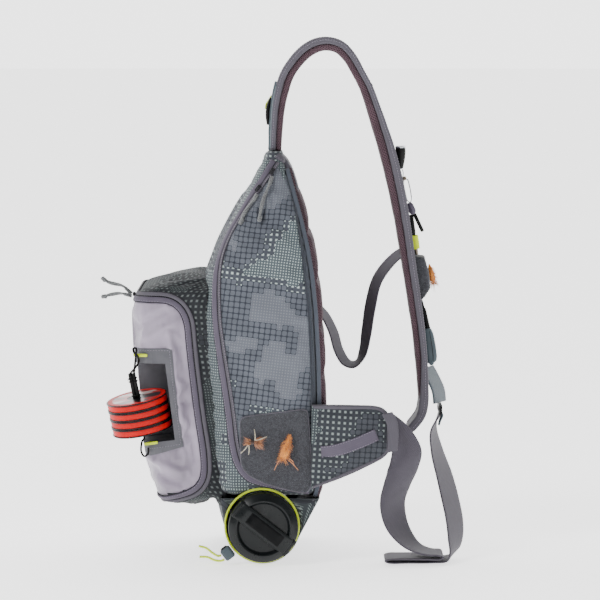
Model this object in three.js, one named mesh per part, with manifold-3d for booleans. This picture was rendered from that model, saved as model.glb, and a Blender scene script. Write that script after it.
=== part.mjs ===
// A sling bag for fishing tackle, held up under the crown of its shoulder strap.
// Millimetres, +Z up. +X runs from the front pocket to the wearer's back, -Y is the side with the zips.
// The origin lies on the underside of the shoulder strap's crown, in the strap's middle plane.
import * as THREE from "three";
import { mergeVertices } from "three/addons/utils/BufferGeometryUtils.js";
import Module from "manifold-3d";

const wasm = await Module();
wasm.setup();

// Driving dimensions of the whole bag
const clearance = 0.3;
const bodyTop = 125;
const bodyHeight = 420;
const bodyDepth = 139;
const bodyWidth = 236;
const bodyBack = -10;
const bodyWall = 2.5;
const bodyFrontRound = 24;
const bodyBackRound = 10;
const backPad = 9;
const backPadMargin = 7;
const zipBandWidth = 12;
const patchFoam = 3.5;
const sliderLift = 0.8;

// Driving dimensions of the front pocket
const pocketDepth = 86;
const pocketHeight = 285;
const pocketWidth = 200;
const pocketTop = 276;
const pocketWall = 2;
const pocketRound = 20;
const flangeThickness = 1.6;
const nicheDepth = 68;
const nicheWall = 1.6;

// Driving dimensions of the tippet spools
const spoolDiameter = 76;
const spoolThickness = 10;
const spoolPitch = 10.5;
const spoolCount = 4;
const spoolBore = 10;
const spoolBarDiameter = 5;
const spoolLean = 11;
const spoolNod = 7;

// Driving dimensions of the shoulder strap and what it carries
const strapReach = 182;
const strapDrop = 480;
const strapWidth = 70;
const strapThickness = 14;
const liningShare = 0.42;
const anchorThickness = 3;
const anchorWidth = 32;
const strapPatchDepth = 17.5;

// Driving dimensions of the webbing
const webbingWidth = 50;
const webbingThickness = 2;
const stabiliserWidth = 25;
const loopDrop = 190;
const lockBar = 4;

// Driving dimensions of the waist wing
const wingLength = 97;
const wingHeight = 102;
const wingThickness = 9;
const wingRise = 115;

// Driving dimensions of the bottle and its sleeve
const bottleDiameter = 84;
const bottleLength = 240;
const bottleWall = 1.5;
const capDiameter = 85;
const capHeight = 34;
const sleeveWall = 2;
const sleeveLength = 226;
const sleeveSlack = 0.8;
const bottleTurn = 4;
const bottleFromBack = 65.5;
const bottleProud = 16;
const archRise = 12;
const hemWidth = 6;
const hemThickness = 3.3;

// Sections of the bag body, from the apex down: shares of its height, depth, half width and corner radius
const bodySections = [
  { down: 0, front: 0.432, back: 0.317, half: 0.3, round: 1 },
  { down: 0.048, front: 0.51, back: 0.285, half: 0.44, round: 1 },
  { down: 0.105, front: 0.594, back: 0.237, half: 0.576, round: 1.4 },
  { down: 0.179, front: 0.735, back: 0.172, half: 0.712, round: 1.8 },
  { down: 0.274, front: 0.88, back: 0.104, half: 0.847, round: 1.8 },
  { down: 0.355, front: 0.978, back: 0.062, half: 0.932, round: 1.5 },
  { down: 0.464, front: 1, back: 0.03, half: 0.983, round: 1.2 },
  { down: 0.607, front: 0.964, back: 0.008, half: 1, round: 1 },
  { down: 0.733, front: 0.928, back: 0, half: 1, round: 1 },
  { down: 0.869, front: 0.885, back: 0.004, half: 1, round: 1 },
  { down: 0.965, front: 0.862, back: 0.012, half: 0.995, round: 1 },
  { down: 1, front: 0.815, back: 0.04, half: 0.96, round: 1 },
];

// Middle line of the main zip and the rear edge of the side panel, as shares of the body's depth and height
const zipLine = [
  { across: 0.374, down: 0.03 },
  { across: 0.48, down: 0.086 },
  { across: 0.578, down: 0.131 },
  { across: 0.672, down: 0.181 },
  { across: 0.76, down: 0.23 },
  { across: 0.822, down: 0.276 },
  { across: 0.866, down: 0.328 },
  { across: 0.882, down: 0.395 },
  { across: 0.874, down: 0.488 },
  { across: 0.837, down: 0.583 },
  { across: 0.791, down: 0.683 },
  { across: 0.755, down: 0.771 },
  { across: 0.727, down: 0.845 },
  { across: 0.68, down: 0.9 },
  { across: 0.59, down: 0.937 },
  { across: 0.46, down: 0.951 },
  { across: 0.288, down: 0.962 },
  { across: 0.075, down: 0.974 },
];
const panelEdge = [
  { across: 0.3, down: 0.085 },
  { across: 0.237, down: 0.133 },
  { across: 0.198, down: 0.195 },
  { across: 0.16, down: 0.276 },
  { across: 0.129, down: 0.362 },
  { across: 0.1, down: 0.452 },
  { across: 0.084, down: 0.54 },
  { across: 0.072, down: 0.64 },
  { across: 0.065, down: 0.74 },
];
const flyPatchOutline = [
  { across: 0.676, down: 0.762 },
  { across: 0.085, down: 0.738 },
  { across: 0.058, down: 0.869 },
  { across: 0.058, down: 0.972 },
  { across: 0.094, down: 0.986 },
  { across: 0.252, down: 0.974 },
  { across: 0.46, down: 0.955 },
  { across: 0.597, down: 0.933 },
  { across: 0.669, down: 0.905 },
];

// Sections of the front pocket, from its domed top down: shares of the pocket's height, depth and half width.
// rear is the share of the depth that the underside has drawn in from the bag body.
const pocketSections = [
  { down: 0, front: 0.06, half: 0.72, rear: -0.2 },
  { down: 0.014, front: 0.32, half: 0.81, rear: -0.2 },
  { down: 0.032, front: 0.6, half: 0.88, rear: -0.2 },
  { down: 0.05, front: 0.83, half: 0.935, rear: -0.2 },
  { down: 0.074, front: 0.965, half: 0.975, rear: -0.2 },
  { down: 0.12, front: 1, half: 0.995, rear: -0.2 },
  { down: 0.242, front: 0.99, half: 1, rear: -0.2 },
  { down: 0.435, front: 0.945, half: 1, rear: -0.2 },
  { down: 0.611, front: 0.9, half: 1, rear: -0.2 },
  { down: 0.754, front: 0.828, half: 1, rear: -0.2 },
  { down: 0.86, front: 0.745, half: 0.99, rear: -0.2 },
  { down: 0.926, front: 0.69, half: 0.965, rear: -0.2 },
  { down: 0.958, front: 0.65, half: 0.92, rear: -0.17 },
  { down: 0.982, front: 0.6, half: 0.86, rear: 0.05 },
  { down: 1, front: 0.5, half: 0.78, rear: 0.25 },
];

// Inner edge of the pocket's zip band and outline of its door: shares of the pocket's depth and height
const doorLine = [
  { across: 1.3, down: 0.103 },
  { across: 0.98, down: 0.103 },
  { across: 0.49, down: 0.112 },
  { across: 0.35, down: 0.14 },
  { across: 0.268, down: 0.193 },
  { across: 0.244, down: 0.267 },
  { across: 0.198, down: 0.4 },
  { across: 0.105, down: 0.625 },
  { across: 0.035, down: 0.772 },
  { across: 0.045, down: 0.865 },
  { across: 0.14, down: 0.905 },
  { across: 0.45, down: 0.936 },
  { across: 0.7, down: 0.942 },
  { across: 1.3, down: 0.942 },
];
const flangeOutline = [
  { across: 1.4, down: 0.305 },
  { across: 0.45, down: 0.305 },
  { across: 0.395, down: 0.477 },
  { across: 0.285, down: 0.728 },
  { across: 0.74, down: 0.768 },
  { across: 1.4, down: 0.82 },
];
const nicheOutline = [
  { across: 1.5, down: 0.37 },
  { across: 0.545, down: 0.37 },
  { across: 0.41, down: 0.7 },
  { across: 1.5, down: 0.735 },
];

// Middle line of the shoulder strap from the bag's apex, over the crown and down the wearer's side:
// shares of its reach along X from the crown and of its drop below the crown's middle line
const strapLine = [
  { across: -0.338, down: 0.2736 },
  { across: -0.33, down: 0.21 },
  { across: -0.319, down: 0.165 },
  { across: -0.297, down: 0.123 },
  { across: -0.264, down: 0.083 },
  { across: -0.209, down: 0.05 },
  { across: -0.137, down: 0.021 },
  { across: -0.055, down: 0.0035 },
  { across: 0.022, down: 0 },
  { across: 0.099, down: 0.0087 },
  { across: 0.165, down: 0.034 },
  { across: 0.225, down: 0.073 },
  { across: 0.28, down: 0.113 },
  { across: 0.324, down: 0.159 },
  { across: 0.374, down: 0.217 },
  { across: 0.418, down: 0.273 },
  { across: 0.478, down: 0.371 },
  { across: 0.522, down: 0.459 },
  { across: 0.571, down: 0.577 },
  { across: 0.615, down: 0.682 },
  { across: 0.648, down: 0.777 },
  { across: 0.67, down: 0.882 },
  { across: 0.673, down: 0.927 },
  { across: 0.654, down: 0.963 },
  { across: 0.582, down: 1 },
];
const strapShape = [
  { along: 0, width: 0.68, thickness: 0.85 },
  { along: 0.12, width: 0.9, thickness: 1 },
  { along: 0.25, width: 1, thickness: 1 },
  { along: 0.5, width: 1, thickness: 0.95 },
  { along: 0.7, width: 0.93, thickness: 0.82 },
  { along: 0.88, width: 0.84, thickness: 0.75 },
  { along: 1, width: 0.74, thickness: 0.64 },
];

// Shoulder webbing from the wing's end down to its folds and up to the ladder lock. across and side are
// shares of the way to the lock along X and Y, rise is the share of the way to its height, down is a share
// of the loop's drop. turn swings the width from upright towards X and yaw swings it out of the side plane,
// both in degrees.
const loopLine = [
  { across: 0, side: 0, rise: 0, down: 0, turn: 0, yaw: 0 },
  { across: 0.16, side: 0, rise: 0, down: 0.09, turn: 32, yaw: 5 },
  { across: 0.241, side: 0, rise: 0, down: 0.178, turn: 60, yaw: 12 },
  { across: 0.181, side: 0.016, rise: 0, down: 0.273, turn: 70, yaw: 25 },
  { across: 0.069, side: 0.033, rise: 0, down: 0.383, turn: 76, yaw: 40 },
  { across: 0.024, side: 0.049, rise: 0, down: 0.478, turn: 80, yaw: 52 },
  { across: 0.09, side: 0.066, rise: 0, down: 0.588, turn: 84, yaw: 58 },
  { across: 0.241, side: 0.074, rise: 0, down: 0.678, turn: 88, yaw: 64 },
  { across: 0.452, side: 0.082, rise: 0, down: 0.745, turn: 90, yaw: 72 },
  { across: 0.723, side: 0.09, rise: 0, down: 0.778, turn: 90, yaw: 80 },
  { across: 0.933, side: 0.099, rise: 0, down: 0.784, turn: 90, yaw: 86 },
  { across: 0.988, side: 0.099, rise: 0, down: 0.795, turn: 90, yaw: 90 },
  { across: 0.933, side: 0.099, rise: 0, down: 0.807, turn: 90, yaw: 90 },
  { across: 0.602, side: 0.099, rise: 0, down: 0.807, turn: 90, yaw: 90 },
  { across: 0.151, side: 0.099, rise: 0, down: 0.807, turn: 90, yaw: 90 },
  { across: -0.06, side: 0.099, rise: 0, down: 0.809, turn: 90, yaw: 90 },
  { across: -0.126, side: 0.107, rise: 0, down: 0.82, turn: 90, yaw: 90 },
  { across: -0.06, side: 0.115, rise: 0, down: 0.831, turn: 90, yaw: 90 },
  { across: 0.301, side: 0.123, rise: 0, down: 0.832, turn: 90, yaw: 90 },
  { across: 0.783, side: 0.14, rise: 0, down: 0.832, turn: 90, yaw: 90 },
  { across: 1.114, side: 0.164, rise: 0, down: 0.824, turn: 90, yaw: 84 },
  { across: 1.235, side: 0.214, rise: 0, down: 0.78, turn: 90, yaw: 74 },
  { across: 1.265, side: 0.312, rise: 0, down: 0.7, turn: 90, yaw: 66 },
  { across: 1.25, side: 0.427, rise: 0, down: 0.6, turn: 90, yaw: 64 },
  { across: 1.174, side: 0.575, rise: 0.1, down: 0.476, turn: 90, yaw: 64 },
  { across: 1.069, side: 0.707, rise: 0.3, down: 0.349, turn: 90, yaw: 66 },
  { across: 0.933, side: 0.838, rise: 0.6, down: 0.217, turn: 90, yaw: 72 },
  { across: 0.873, side: 0.937, rise: 0.85, down: 0.093, turn: 90, yaw: 80 },
  { across: 1, side: 1, rise: 1, down: 0, turn: 90, yaw: 89 },
];

// Stabiliser webbing from the bag's back edge to the shoulder strap: shares of the body's depth and height,
// the depth counted from the body's back away from the bag
const stabiliserLine = [
  { across: 0.075, down: 0.5, side: 0.3, yaw: 88 },
  { across: 0.15, down: 0.55, side: 0.27, yaw: 80 },
  { across: 0.2, down: 0.605, side: 0.24, yaw: 72 },
  { across: 0.27, down: 0.64, side: 0.21, yaw: 68 },
  { across: 0.345, down: 0.643, side: 0.18, yaw: 66 },
  { across: 0.41, down: 0.61, side: 0.15, yaw: 66 },
  { across: 0.445, down: 0.55, side: 0.12, yaw: 68 },
  { across: 0.48, down: 0.47, side: 0.1, yaw: 72 },
  { across: 0.54, down: 0.39, side: 0.07, yaw: 78 },
  { across: 0.64, down: 0.34, side: 0.04, yaw: 84 },
  { across: 0.735, down: 0.31, side: 0.01, yaw: 90 },
  { across: 0.729, down: 0.27, side: 0, yaw: 90 },
];

// Waist wing from the bag to its free end: shares of its length, height and thickness
const wingSections = [
  { along: 0, top: 0, bottom: 1, side: 0 },
  { along: 0.15, top: 0, bottom: 0.95, side: 0 },
  { along: 0.35, top: 0, bottom: 0.88, side: 0 },
  { along: 0.55, top: 0.005, bottom: 0.8, side: 0.1 },
  { along: 0.75, top: 0.01, bottom: 0.71, side: 0.3 },
  { along: 0.88, top: 0.03, bottom: 0.65, side: 0.5 },
  { along: 0.96, top: 0.09, bottom: 0.59, side: 0.65 },
  { along: 1, top: 0.16, bottom: 0.53, side: 0.75 },
];

// Free cords of the zip pulls and the sleeve's drawcord, chosen by hand
const pullDiameter = 3;
const pullRoutes = {
  pull_main_1: [
    [-66.6, -60.8, -154.9],
    [-68.5, -66, -162],
    [-73.5, -73.4, -177],
    [-78, -82.3, -193],
    [-81.5, -88.2, -206],
  ],
  pull_main_2: [
    [-84.6, -71.6, -175.8],
    [-89, -73, -184],
    [-94.5, -75.5, -193],
    [-100, -78, -202],
    [-104.5, -80.5, -210],
  ],
  pull_pocket_1: [
    [-238, -61.5, -298.4],
    [-243, -61, -294],
    [-250, -60.5, -289.5],
    [-259, -60.5, -288],
    [-267, -61, -285.5],
    [-273, -61, -280],
  ],
  pull_pocket_2: [
    [-237.8, -66, -300.6],
    [-244, -66.2, -299.2],
    [-252, -66.5, -298.6],
    [-260, -67, -300],
    [-267, -67, -301],
    [-273, -67, -301.5],
  ],
};
const tailDiameter = 3;
const tailRoutes = {
  tail_1: [
    [-127.5, -117, -615.4],
    [-131.5, -117, -616],
    [-138, -116.5, -612.5],
    [-146, -116, -606.5],
    [-155, -116, -604],
  ],
  tail_2: [
    [-123.5, -120.5, -619.8],
    [-128, -120.5, -621.5],
    [-136, -120.5, -620.5],
    [-144, -120.5, -617],
    [-154, -120.5, -616.5],
  ],
};

// Colours, roughness and metalness
const material = (color, roughness, metalness = 0) =>
  new THREE.MeshStandardMaterial({ color, roughness, metalness });
const checkFabric = material(0x6f7f86, 0.85);
const plainFabric = material(0x79757f, 0.8);
const lilacFabric = material(0xa8a0b2, 0.5);
const meshFabric = material(0x5b4854, 0.9);
const foam = material(0x4b4b50, 0.95);
const patchFabric = material(0x55555b, 0.8);
const webbing = material(0x6f6b76, 0.75);
const blackPlastic = material(0x1b1c1e, 0.45);
const limeFabric = material(0xcfe02a, 0.6);
const redBand = material(0xd8322a, 0.35);
const chrome = material(0xc8cacc, 0.2, 1);
const greyGrip = material(0x5d6b70, 0.6);
const bottlePaint = material(0x2c3233, 0.3, 0.3);
const feather = material(0xc9803a, 0.9);
const darkFeather = material(0x5a3b26, 0.9);

const bag = new THREE.Group();

// Shared geometry helpers
const at = (x, y, z) => new THREE.Vector3(x, y, z);
const radians = THREE.MathUtils.degToRad;

// A closed geometry as a solid for cutting and joining, placed by an optional matrix.
function solid(geometry, matrix) {
  const bare = new THREE.BufferGeometry();
  bare.setAttribute("position", geometry.getAttribute("position").clone());
  if (geometry.index) bare.setIndex(geometry.index.clone());
  if (matrix) bare.applyMatrix4(matrix);
  const merged = mergeVertices(bare, 1e-4);
  const corners = Array.from(merged.index.array);
  const faces = [];
  for (let i = 0; i < corners.length; i += 3) {
    const [a, b, c] = corners.slice(i, i + 3);
    if (a !== b && b !== c && c !== a) faces.push(a, b, c);
  }
  const vertProperties = new Float32Array(merged.attributes.position.array);
  const triVerts = new Uint32Array(faces);
  return new wasm.Manifold(new wasm.Mesh({ numProp: 3, vertProperties, triVerts }));
}

// The vertices and triangles of a solid as a geometry.
function geometryOf(manifold) {
  const mesh = manifold.getMesh();
  const geometry = new THREE.BufferGeometry();
  geometry.setAttribute("position", new THREE.BufferAttribute(new Float32Array(mesh.vertProperties), 3));
  geometry.setIndex(new THREE.BufferAttribute(new Uint32Array(mesh.triVerts), 1));
  geometry.computeVertexNormals();
  return geometry;
}

// Adds one named sub-part to the bag.
function add(name, shape, finish, parent = bag) {
  const mesh = new THREE.Mesh(shape.isBufferGeometry ? shape : geometryOf(shape), finish);
  mesh.name = name;
  parent.add(mesh);
  return mesh;
}

// A closed skin through rings that have the same number of points, with flat ends.
function loft(rings, flat = (p) => [p.x, p.y]) {
  const count = rings[0].length;
  const vertices = rings.flat();
  const faces = [];
  for (let ring = 0; ring + 1 < rings.length; ring++) {
    for (let i = 0; i < count; i++) {
      const a = ring * count + i;
      const b = ring * count + ((i + 1) % count);
      faces.push([a, b, b + count], [a, b + count, a + count]);
    }
  }
  const flattened = (ring) => ring.map((p) => new THREE.Vector2(...flat(p)));
  const endFaces = (ring) => THREE.ShapeUtils.triangulateShape(flattened(ring), []);
  const last = (rings.length - 1) * count;
  const clockwise = THREE.ShapeUtils.isClockWise(flattened(rings[0]));
  for (const [a, b, c] of endFaces(rings[0])) faces.push(clockwise ? [a, b, c] : [a, c, b]);
  for (const corners of endFaces(rings.at(-1))) {
    const [a, b, c] = corners.map((corner) => corner + last);
    faces.push(clockwise ? [a, c, b] : [a, b, c]);
  }
  return facingOut(vertices, faces);
}

// Turns the faces of a closed mesh so that they all point out, and makes the geometry.
function facingOut(vertices, faces) {
  let volume = 0;
  for (const [a, b, c] of faces) {
    volume += vertices[a].dot(at(0, 0, 0).crossVectors(vertices[b], vertices[c]));
  }
  const index = faces.flatMap(([a, b, c]) => (volume < 0 ? [a, c, b] : [a, b, c]));
  const geometry = new THREE.BufferGeometry().setFromPoints(vertices);
  geometry.setIndex(index);
  return geometry;
}

// A plate whose outline lies in the XZ plane, between two places along Y.
function plate(outline, nearY, farY) {
  const shape = new THREE.Shape(outline.map(([x, z]) => new THREE.Vector2(x, z)));
  const geometry = new THREE.ExtrudeGeometry(shape, { depth: farY - nearY, bevelEnabled: false });
  geometry.rotateX(Math.PI / 2);
  geometry.translate(0, farY, 0);
  return geometry;
}

// A value read from a table by straight lines between its rows.
function between(rows, key, column, value) {
  const after = rows.findIndex((row) => row[key] >= value);
  if (after <= 0) return (after < 0 ? rows.at(-1) : rows[0])[column];
  const low = rows[after - 1];
  const high = rows[after];
  const share = (value - low[key]) / (high[key] - low[key]);
  return THREE.MathUtils.lerp(low[column], high[column], share);
}

// A horizontal rounded rectangle with its own radii at the front and the back.
function roundedRing({ front, back, half, z, frontRound, backRound }) {
  const cornerSteps = 4;
  const most = Math.min(half, (back - front) / 2) * 0.96;
  const corners = [
    { x: front, inward: 1, side: -1, quarters: 2, round: frontRound },
    { x: back, inward: -1, side: -1, quarters: 3, round: backRound },
    { x: back, inward: -1, side: 1, quarters: 0, round: backRound },
    { x: front, inward: 1, side: 1, quarters: 1, round: frontRound },
  ];
  return corners.flatMap(({ x, inward, side, quarters, round }) => {
    const radius = Math.min(round, most);
    return Array.from({ length: cornerSteps + 1 }, (_, step) => {
      const angle = (quarters + step / cornerSteps) * (Math.PI / 2);
      const y = side * (half - radius) + radius * Math.sin(angle);
      return at(x + inward * radius + radius * Math.cos(angle), y, z);
    });
  });
}

// A round tube along points, open to view only at its closed ends.
function tube(points, diameter, sides = 8, steps = 3 * points.length) {
  const circle = new THREE.Shape();
  for (let i = 0; i < sides; i++) {
    const angle = (2 * Math.PI * i) / sides;
    const place = [(diameter / 2) * Math.cos(angle), (diameter / 2) * Math.sin(angle)];
    if (i === 0) circle.moveTo(...place);
    else circle.lineTo(...place);
  }
  const places = points.map((p) => (p.isVector3 ? p : at(...p)));
  const extrudePath = new THREE.CatmullRomCurve3(places, false, "centripetal");
  return new THREE.ExtrudeGeometry(circle, { steps, extrudePath, bevelEnabled: false, curveSegments: 1 });
}

// A turned shape along an axis from one point towards another; rows give the place along it and the radius.
function turned(from, to, rows, segments = 14) {
  const length = from.distanceTo(to);
  const profile = rows.map(({ along, radius }) => new THREE.Vector2(radius, along * length));
  const closed = [new THREE.Vector2(0, profile[0].y), ...profile, new THREE.Vector2(0, profile.at(-1).y)];
  const geometry = new THREE.LatheGeometry(closed, segments);
  const turn = new THREE.Quaternion().setFromUnitVectors(at(0, 1, 0), to.clone().sub(from).normalize());
  return solid(geometry, new THREE.Matrix4().compose(from, turn, at(1, 1, 1)));
}

// A block with its centre, its size and its turn about Y in degrees.
function block(centre, size, turnY = 0) {
  const turn = new THREE.Quaternion().setFromAxisAngle(at(0, 1, 0), radians(turnY));
  return solid(new THREE.BoxGeometry(...size), new THREE.Matrix4().compose(centre, turn, at(1, 1, 1)));
}

// A flat strip through stations; each has its middle and half of its width as a vector.
function ribbon(stations, thickness, steps) {
  const middle = new THREE.CatmullRomCurve3(stations.map((s) => s.middle), false, "centripetal");
  const sides = new THREE.CatmullRomCurve3(stations.map((s) => s.half), false, "catmullrom", 0.3);
  const rings = Array.from({ length: steps + 1 }, (_, i) => {
    const share = i / steps;
    const centre = middle.getPoint(share);
    const half = sides.getPoint(share).setLength(stations[0].half.length());
    const lift = middle.getTangent(share).cross(half).setLength(thickness / 2);
    return [
      centre.clone().add(half).add(lift),
      centre.clone().sub(half).add(lift),
      centre.clone().sub(half).sub(lift),
      centre.clone().add(half).sub(lift),
    ];
  });
  return ribbonSkin(rings);
}

// The skin of a strip: sides between its four-cornered rings, and its two ends.
function ribbonSkin(rings) {
  const count = rings[0].length;
  const faces = [];
  for (let ring = 0; ring + 1 < rings.length; ring++) {
    for (let i = 0; i < count; i++) {
      const a = ring * count + i;
      const b = ring * count + ((i + 1) % count);
      faces.push([a, b, b + count], [a, b + count, a + count]);
    }
  }
  const last = (rings.length - 1) * count;
  for (let i = 1; i + 1 < count; i++) faces.push([0, i + 1, i], [last, last + i, last + i + 1]);
  return facingOut(rings.flat(), faces);
}

// Places on the bag body
const bodyZ = (down) => -bodyTop - down * bodyHeight;
const bodyX = (across) => bodyBack - across * bodyDepth;
const bodyBottom = bodyZ(1);
const bodyAt = (z, column) => between(bodySections, "down", column, (-bodyTop - z) / bodyHeight);
const bodyFrontX = (z) => bodyX(bodyAt(z, "front"));
const bodyBackX = (z) => bodyX(bodyAt(z, "back"));
const bodyHalf = (z) => (bodyAt(z, "half") * bodyWidth) / 2;
const onBody = (rows) => rows.map(({ across, down }) => [bodyX(across), bodyZ(down)]);

// How far the near side of the body reaches along -Y at a place seen from the side.
function bodySideY(x, z) {
  const half = bodyHalf(z);
  const front = bodyFrontX(z);
  const most = Math.min(half, (bodyBackX(z) - front) / 2) * 0.96;
  const radius = Math.min(bodyFrontRound * bodyAt(z, "round"), most);
  const inCorner = Math.max(0, front + radius - x);
  return -(half - radius + Math.sqrt(Math.max(0, radius ** 2 - inCorner ** 2)));
}

// The bag body's outer form, grown or shrunk by an inset.
function bodyForm(inset) {
  const rings = bodySections.map(({ down, front, back, half, round }, i) => {
    const end = i === 0 ? -inset : i === bodySections.length - 1 ? inset : 0;
    return roundedRing({
      front: bodyX(front) + inset,
      back: bodyX(back) - inset,
      half: (half * bodyWidth) / 2 - inset,
      z: bodyZ(down) + end,
      frontRound: bodyFrontRound * round - inset,
      backRound: bodyBackRound - inset,
    });
  });
  return solid(loft(rings));
}

// The bottle lies on this axis, near end first, and the bag arches over it.
const capRadius = capDiameter / 2;
const sleeveInner = capRadius + sleeveSlack;
const sleeveOuter = sleeveInner + sleeveWall;
const hemOuter = sleeveInner + hemThickness;
const archRadius = hemOuter + clearance;
const bottleNearY = -bodyWidth / 2 - bottleProud;
const bottleNear = at(bodyBack - bottleFromBack, bottleNearY, bodyBottom + archRise - archRadius);
const bottleAxis = at(-Math.sin(radians(bottleTurn)), Math.cos(radians(bottleTurn)), 0);
const onBottle = (along) => bottleNear.clone().addScaledVector(bottleAxis, along);
const bottleXAt = (y) => bottleNear.x - (y - bottleNearY) * Math.tan(radians(bottleTurn));

// A full-length round bar along the bottle's axis, for the arch under the bag.
function bottleBar(radius) {
  const rows = [
    { along: 0, radius },
    { along: 1, radius },
  ];
  return turned(onBottle(-bottleLength), onBottle(2 * bottleLength), rows, 28);
}

// A line beside a smooth curve through points in the XZ plane, longer by extra at both ends.
function besideLine(points, offset, samples, extra = 0) {
  const curve = new THREE.CatmullRomCurve3(points.map(([x, z]) => at(x, 0, z)), false, "centripetal");
  return Array.from({ length: samples + 1 }, (_, i) => {
    const along = curve.getTangentAt(i / samples);
    const shift = i === 0 ? -extra : i === samples ? extra : 0;
    const place = curve.getPointAt(i / samples).addScaledVector(along, shift);
    return [place.x - along.z * offset, place.z + along.x * offset];
  });
}

// Main bag: hollow shell, side panel and the zip band between them
const bodyOuter = bodyForm(0);
const bodyGrown = bodyForm(-clearance);
const arch = bottleBar(archRadius);
const bodyHollow = bodyForm(bodyWall).subtract(bottleBar(archRadius + bodyWall));
const bodyShell = bodyOuter.subtract(arch).subtract(bodyHollow);
const zipMiddle = onBody(zipLine);
const nearCut = (outline) => solid(plate(outline, -bodyWidth, -bodyWidth * 0.14));
const halfBand = zipBandWidth / 2;
const bandSide = (offset, extra = 0) => besideLine(zipMiddle, offset, 26, extra);
const rearSide = (offset, extra = 0) => besideLine(onBody(panelEdge), offset, 10, extra).reverse();
const panelCorner = (gap) => [[bodyX(0.062) + gap, zipMiddle.at(-1)[1] + halfBand - gap]];

function addBody() {
  const panelOutline = [...bandSide(halfBand), ...panelCorner(0), ...rearSide(0)];
  const topCorner = bandSide(halfBand + clearance, clearance)[0];
  const rearHole = rearSide(clearance, 2 * clearance);
  const panelHole = [...bandSide(0), ...panelCorner(clearance), ...rearHole, topCorner];
  const outerSide = bandSide(-halfBand - clearance, clearance);
  const bandHole = [...outerSide, ...bandSide(halfBand, clearance).reverse()];
  const bandOutline = [...bandSide(-halfBand), ...bandSide(halfBand - clearance).reverse()];
  add("main_shell", bodyShell.subtract(nearCut(panelHole)).subtract(nearCut(bandHole)), checkFabric);
  add("side_panel", bodyShell.intersect(nearCut(panelOutline)), checkFabric);
  add("main_zip_band", bodyShell.intersect(nearCut(bandOutline)), plainFabric);
}

function addBackPad() {
  const rows = bodySections.slice(1);
  const rings = rows.map(({ down, back, half }, i) =>
    roundedRing({
      front: bodyX(back) + clearance,
      back: bodyX(back) + backPad,
      half: (half * bodyWidth) / 2 - backPadMargin,
      z: bodyZ(down) + (i === rows.length - 1 ? clearance : 0),
      frontRound: backPad * 0.3,
      backRound: backPad * 0.45,
    }),
  );
  add("back_panel", loft(rings), meshFabric);
}

function addFlyPatch() {
  const face = -bodyWidth / 2 - clearance;
  add("fly_patch", plate(onBody(flyPatchOutline), face - patchFoam, face), foam);
}

// Front pocket
const pocketZ = (down) => -pocketTop - down * pocketHeight;
const pocketRootX = bodyX(1);
const pocketX = (across) => pocketRootX - across * pocketDepth;
const onPocket = (rows) => rows.map(({ across, down }) => [pocketX(across), pocketZ(down)]);
const pocketAt = (z, column) => between(pocketSections, "down", column, (-pocketTop - z) / pocketHeight);
const pocketFrontX = (z) => pocketX(pocketAt(z, "front"));

function pocketForm(inset) {
  const rings = pocketSections.map(({ down, front, half, rear }, i) => {
    const end = i === 0 ? -inset : i === pocketSections.length - 1 ? inset : 0;
    return roundedRing({
      front: pocketX(front) + inset,
      back: pocketX(rear) - (rear > 0 ? inset : 0),
      half: (half * pocketWidth) / 2 - inset,
      z: pocketZ(down) + end,
      frontRound: pocketRound - inset,
      backRound: pocketRound * 0.3,
    });
  });
  return solid(loft(rings));
}

function addPocket() {
  const wall = pocketForm(0).subtract(pocketForm(pocketWall)).subtract(bodyGrown);
  const cut = (outline) => solid(plate(outline, -pocketWidth, pocketWidth));
  const farLeft = pocketX(2);
  const doorCurve = onPocket(doorLine);
  const closedLeft = (line) => [...line, [farLeft, line.at(-1)[1]], [farLeft, line[0][1]]];
  const line = (offset) => closedLeft(besideLine(doorCurve, offset, 24));
  add("pocket_door", wall.intersect(cut(line(0))).subtract(nicheForm(nicheWall + clearance)), lilacFabric);
  const band = wall.intersect(cut(line(zipBandWidth))).subtract(cut(line(clearance)));
  add("pocket_zip_band", band, plainFabric);
  add("pocket_body", wall.subtract(cut(line(zipBandWidth + clearance))), checkFabric);
}

// Moves the corners of an outline away from its middle by an amount along X and Z.
function growOutline(outline, amount) {
  const middleX = outline.reduce((sum, [x]) => sum + x, 0) / outline.length;
  const middleZ = outline.reduce((sum, [, z]) => sum + z, 0) / outline.length;
  return outline.map(([x, z]) => [x + amount * Math.sign(x - middleX), z + amount * Math.sign(z - middleZ)]);
}

// The room of the spools, open to the near front corner, grown by an amount.
const nicheFarY = -pocketWidth / 2 + nicheDepth;
function nicheForm(grown) {
  return solid(plate(growOutline(onPocket(nicheOutline), grown), -pocketWidth, nicheFarY + grown));
}

// Dark frame on the pocket's near front corner, with a niche behind its window for the spools.
function addTippetPatch() {
  const outer = pocketForm(-clearance - flangeThickness);
  const skin = outer.subtract(pocketForm(-clearance));
  const flange = skin.intersect(solid(plate(onPocket(flangeOutline), -pocketWidth, nicheFarY)));
  const liner = nicheForm(nicheWall).intersect(outer);
  add("tippet_patch", flange.add(liner).subtract(nicheForm(0)), patchFabric);
}

// Tippet spools on their leaning bar
const spoolAxis = at(-Math.tan(radians(spoolLean)), -Math.tan(radians(spoolNod)), 1).normalize();
const spoolFoot = at(pocketX(0.872), -pocketWidth / 2 + nicheDepth * 0.34, pocketZ(0.665));
const onSpoolAxis = (up) => spoolFoot.clone().addScaledVector(spoolAxis, up);

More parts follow.
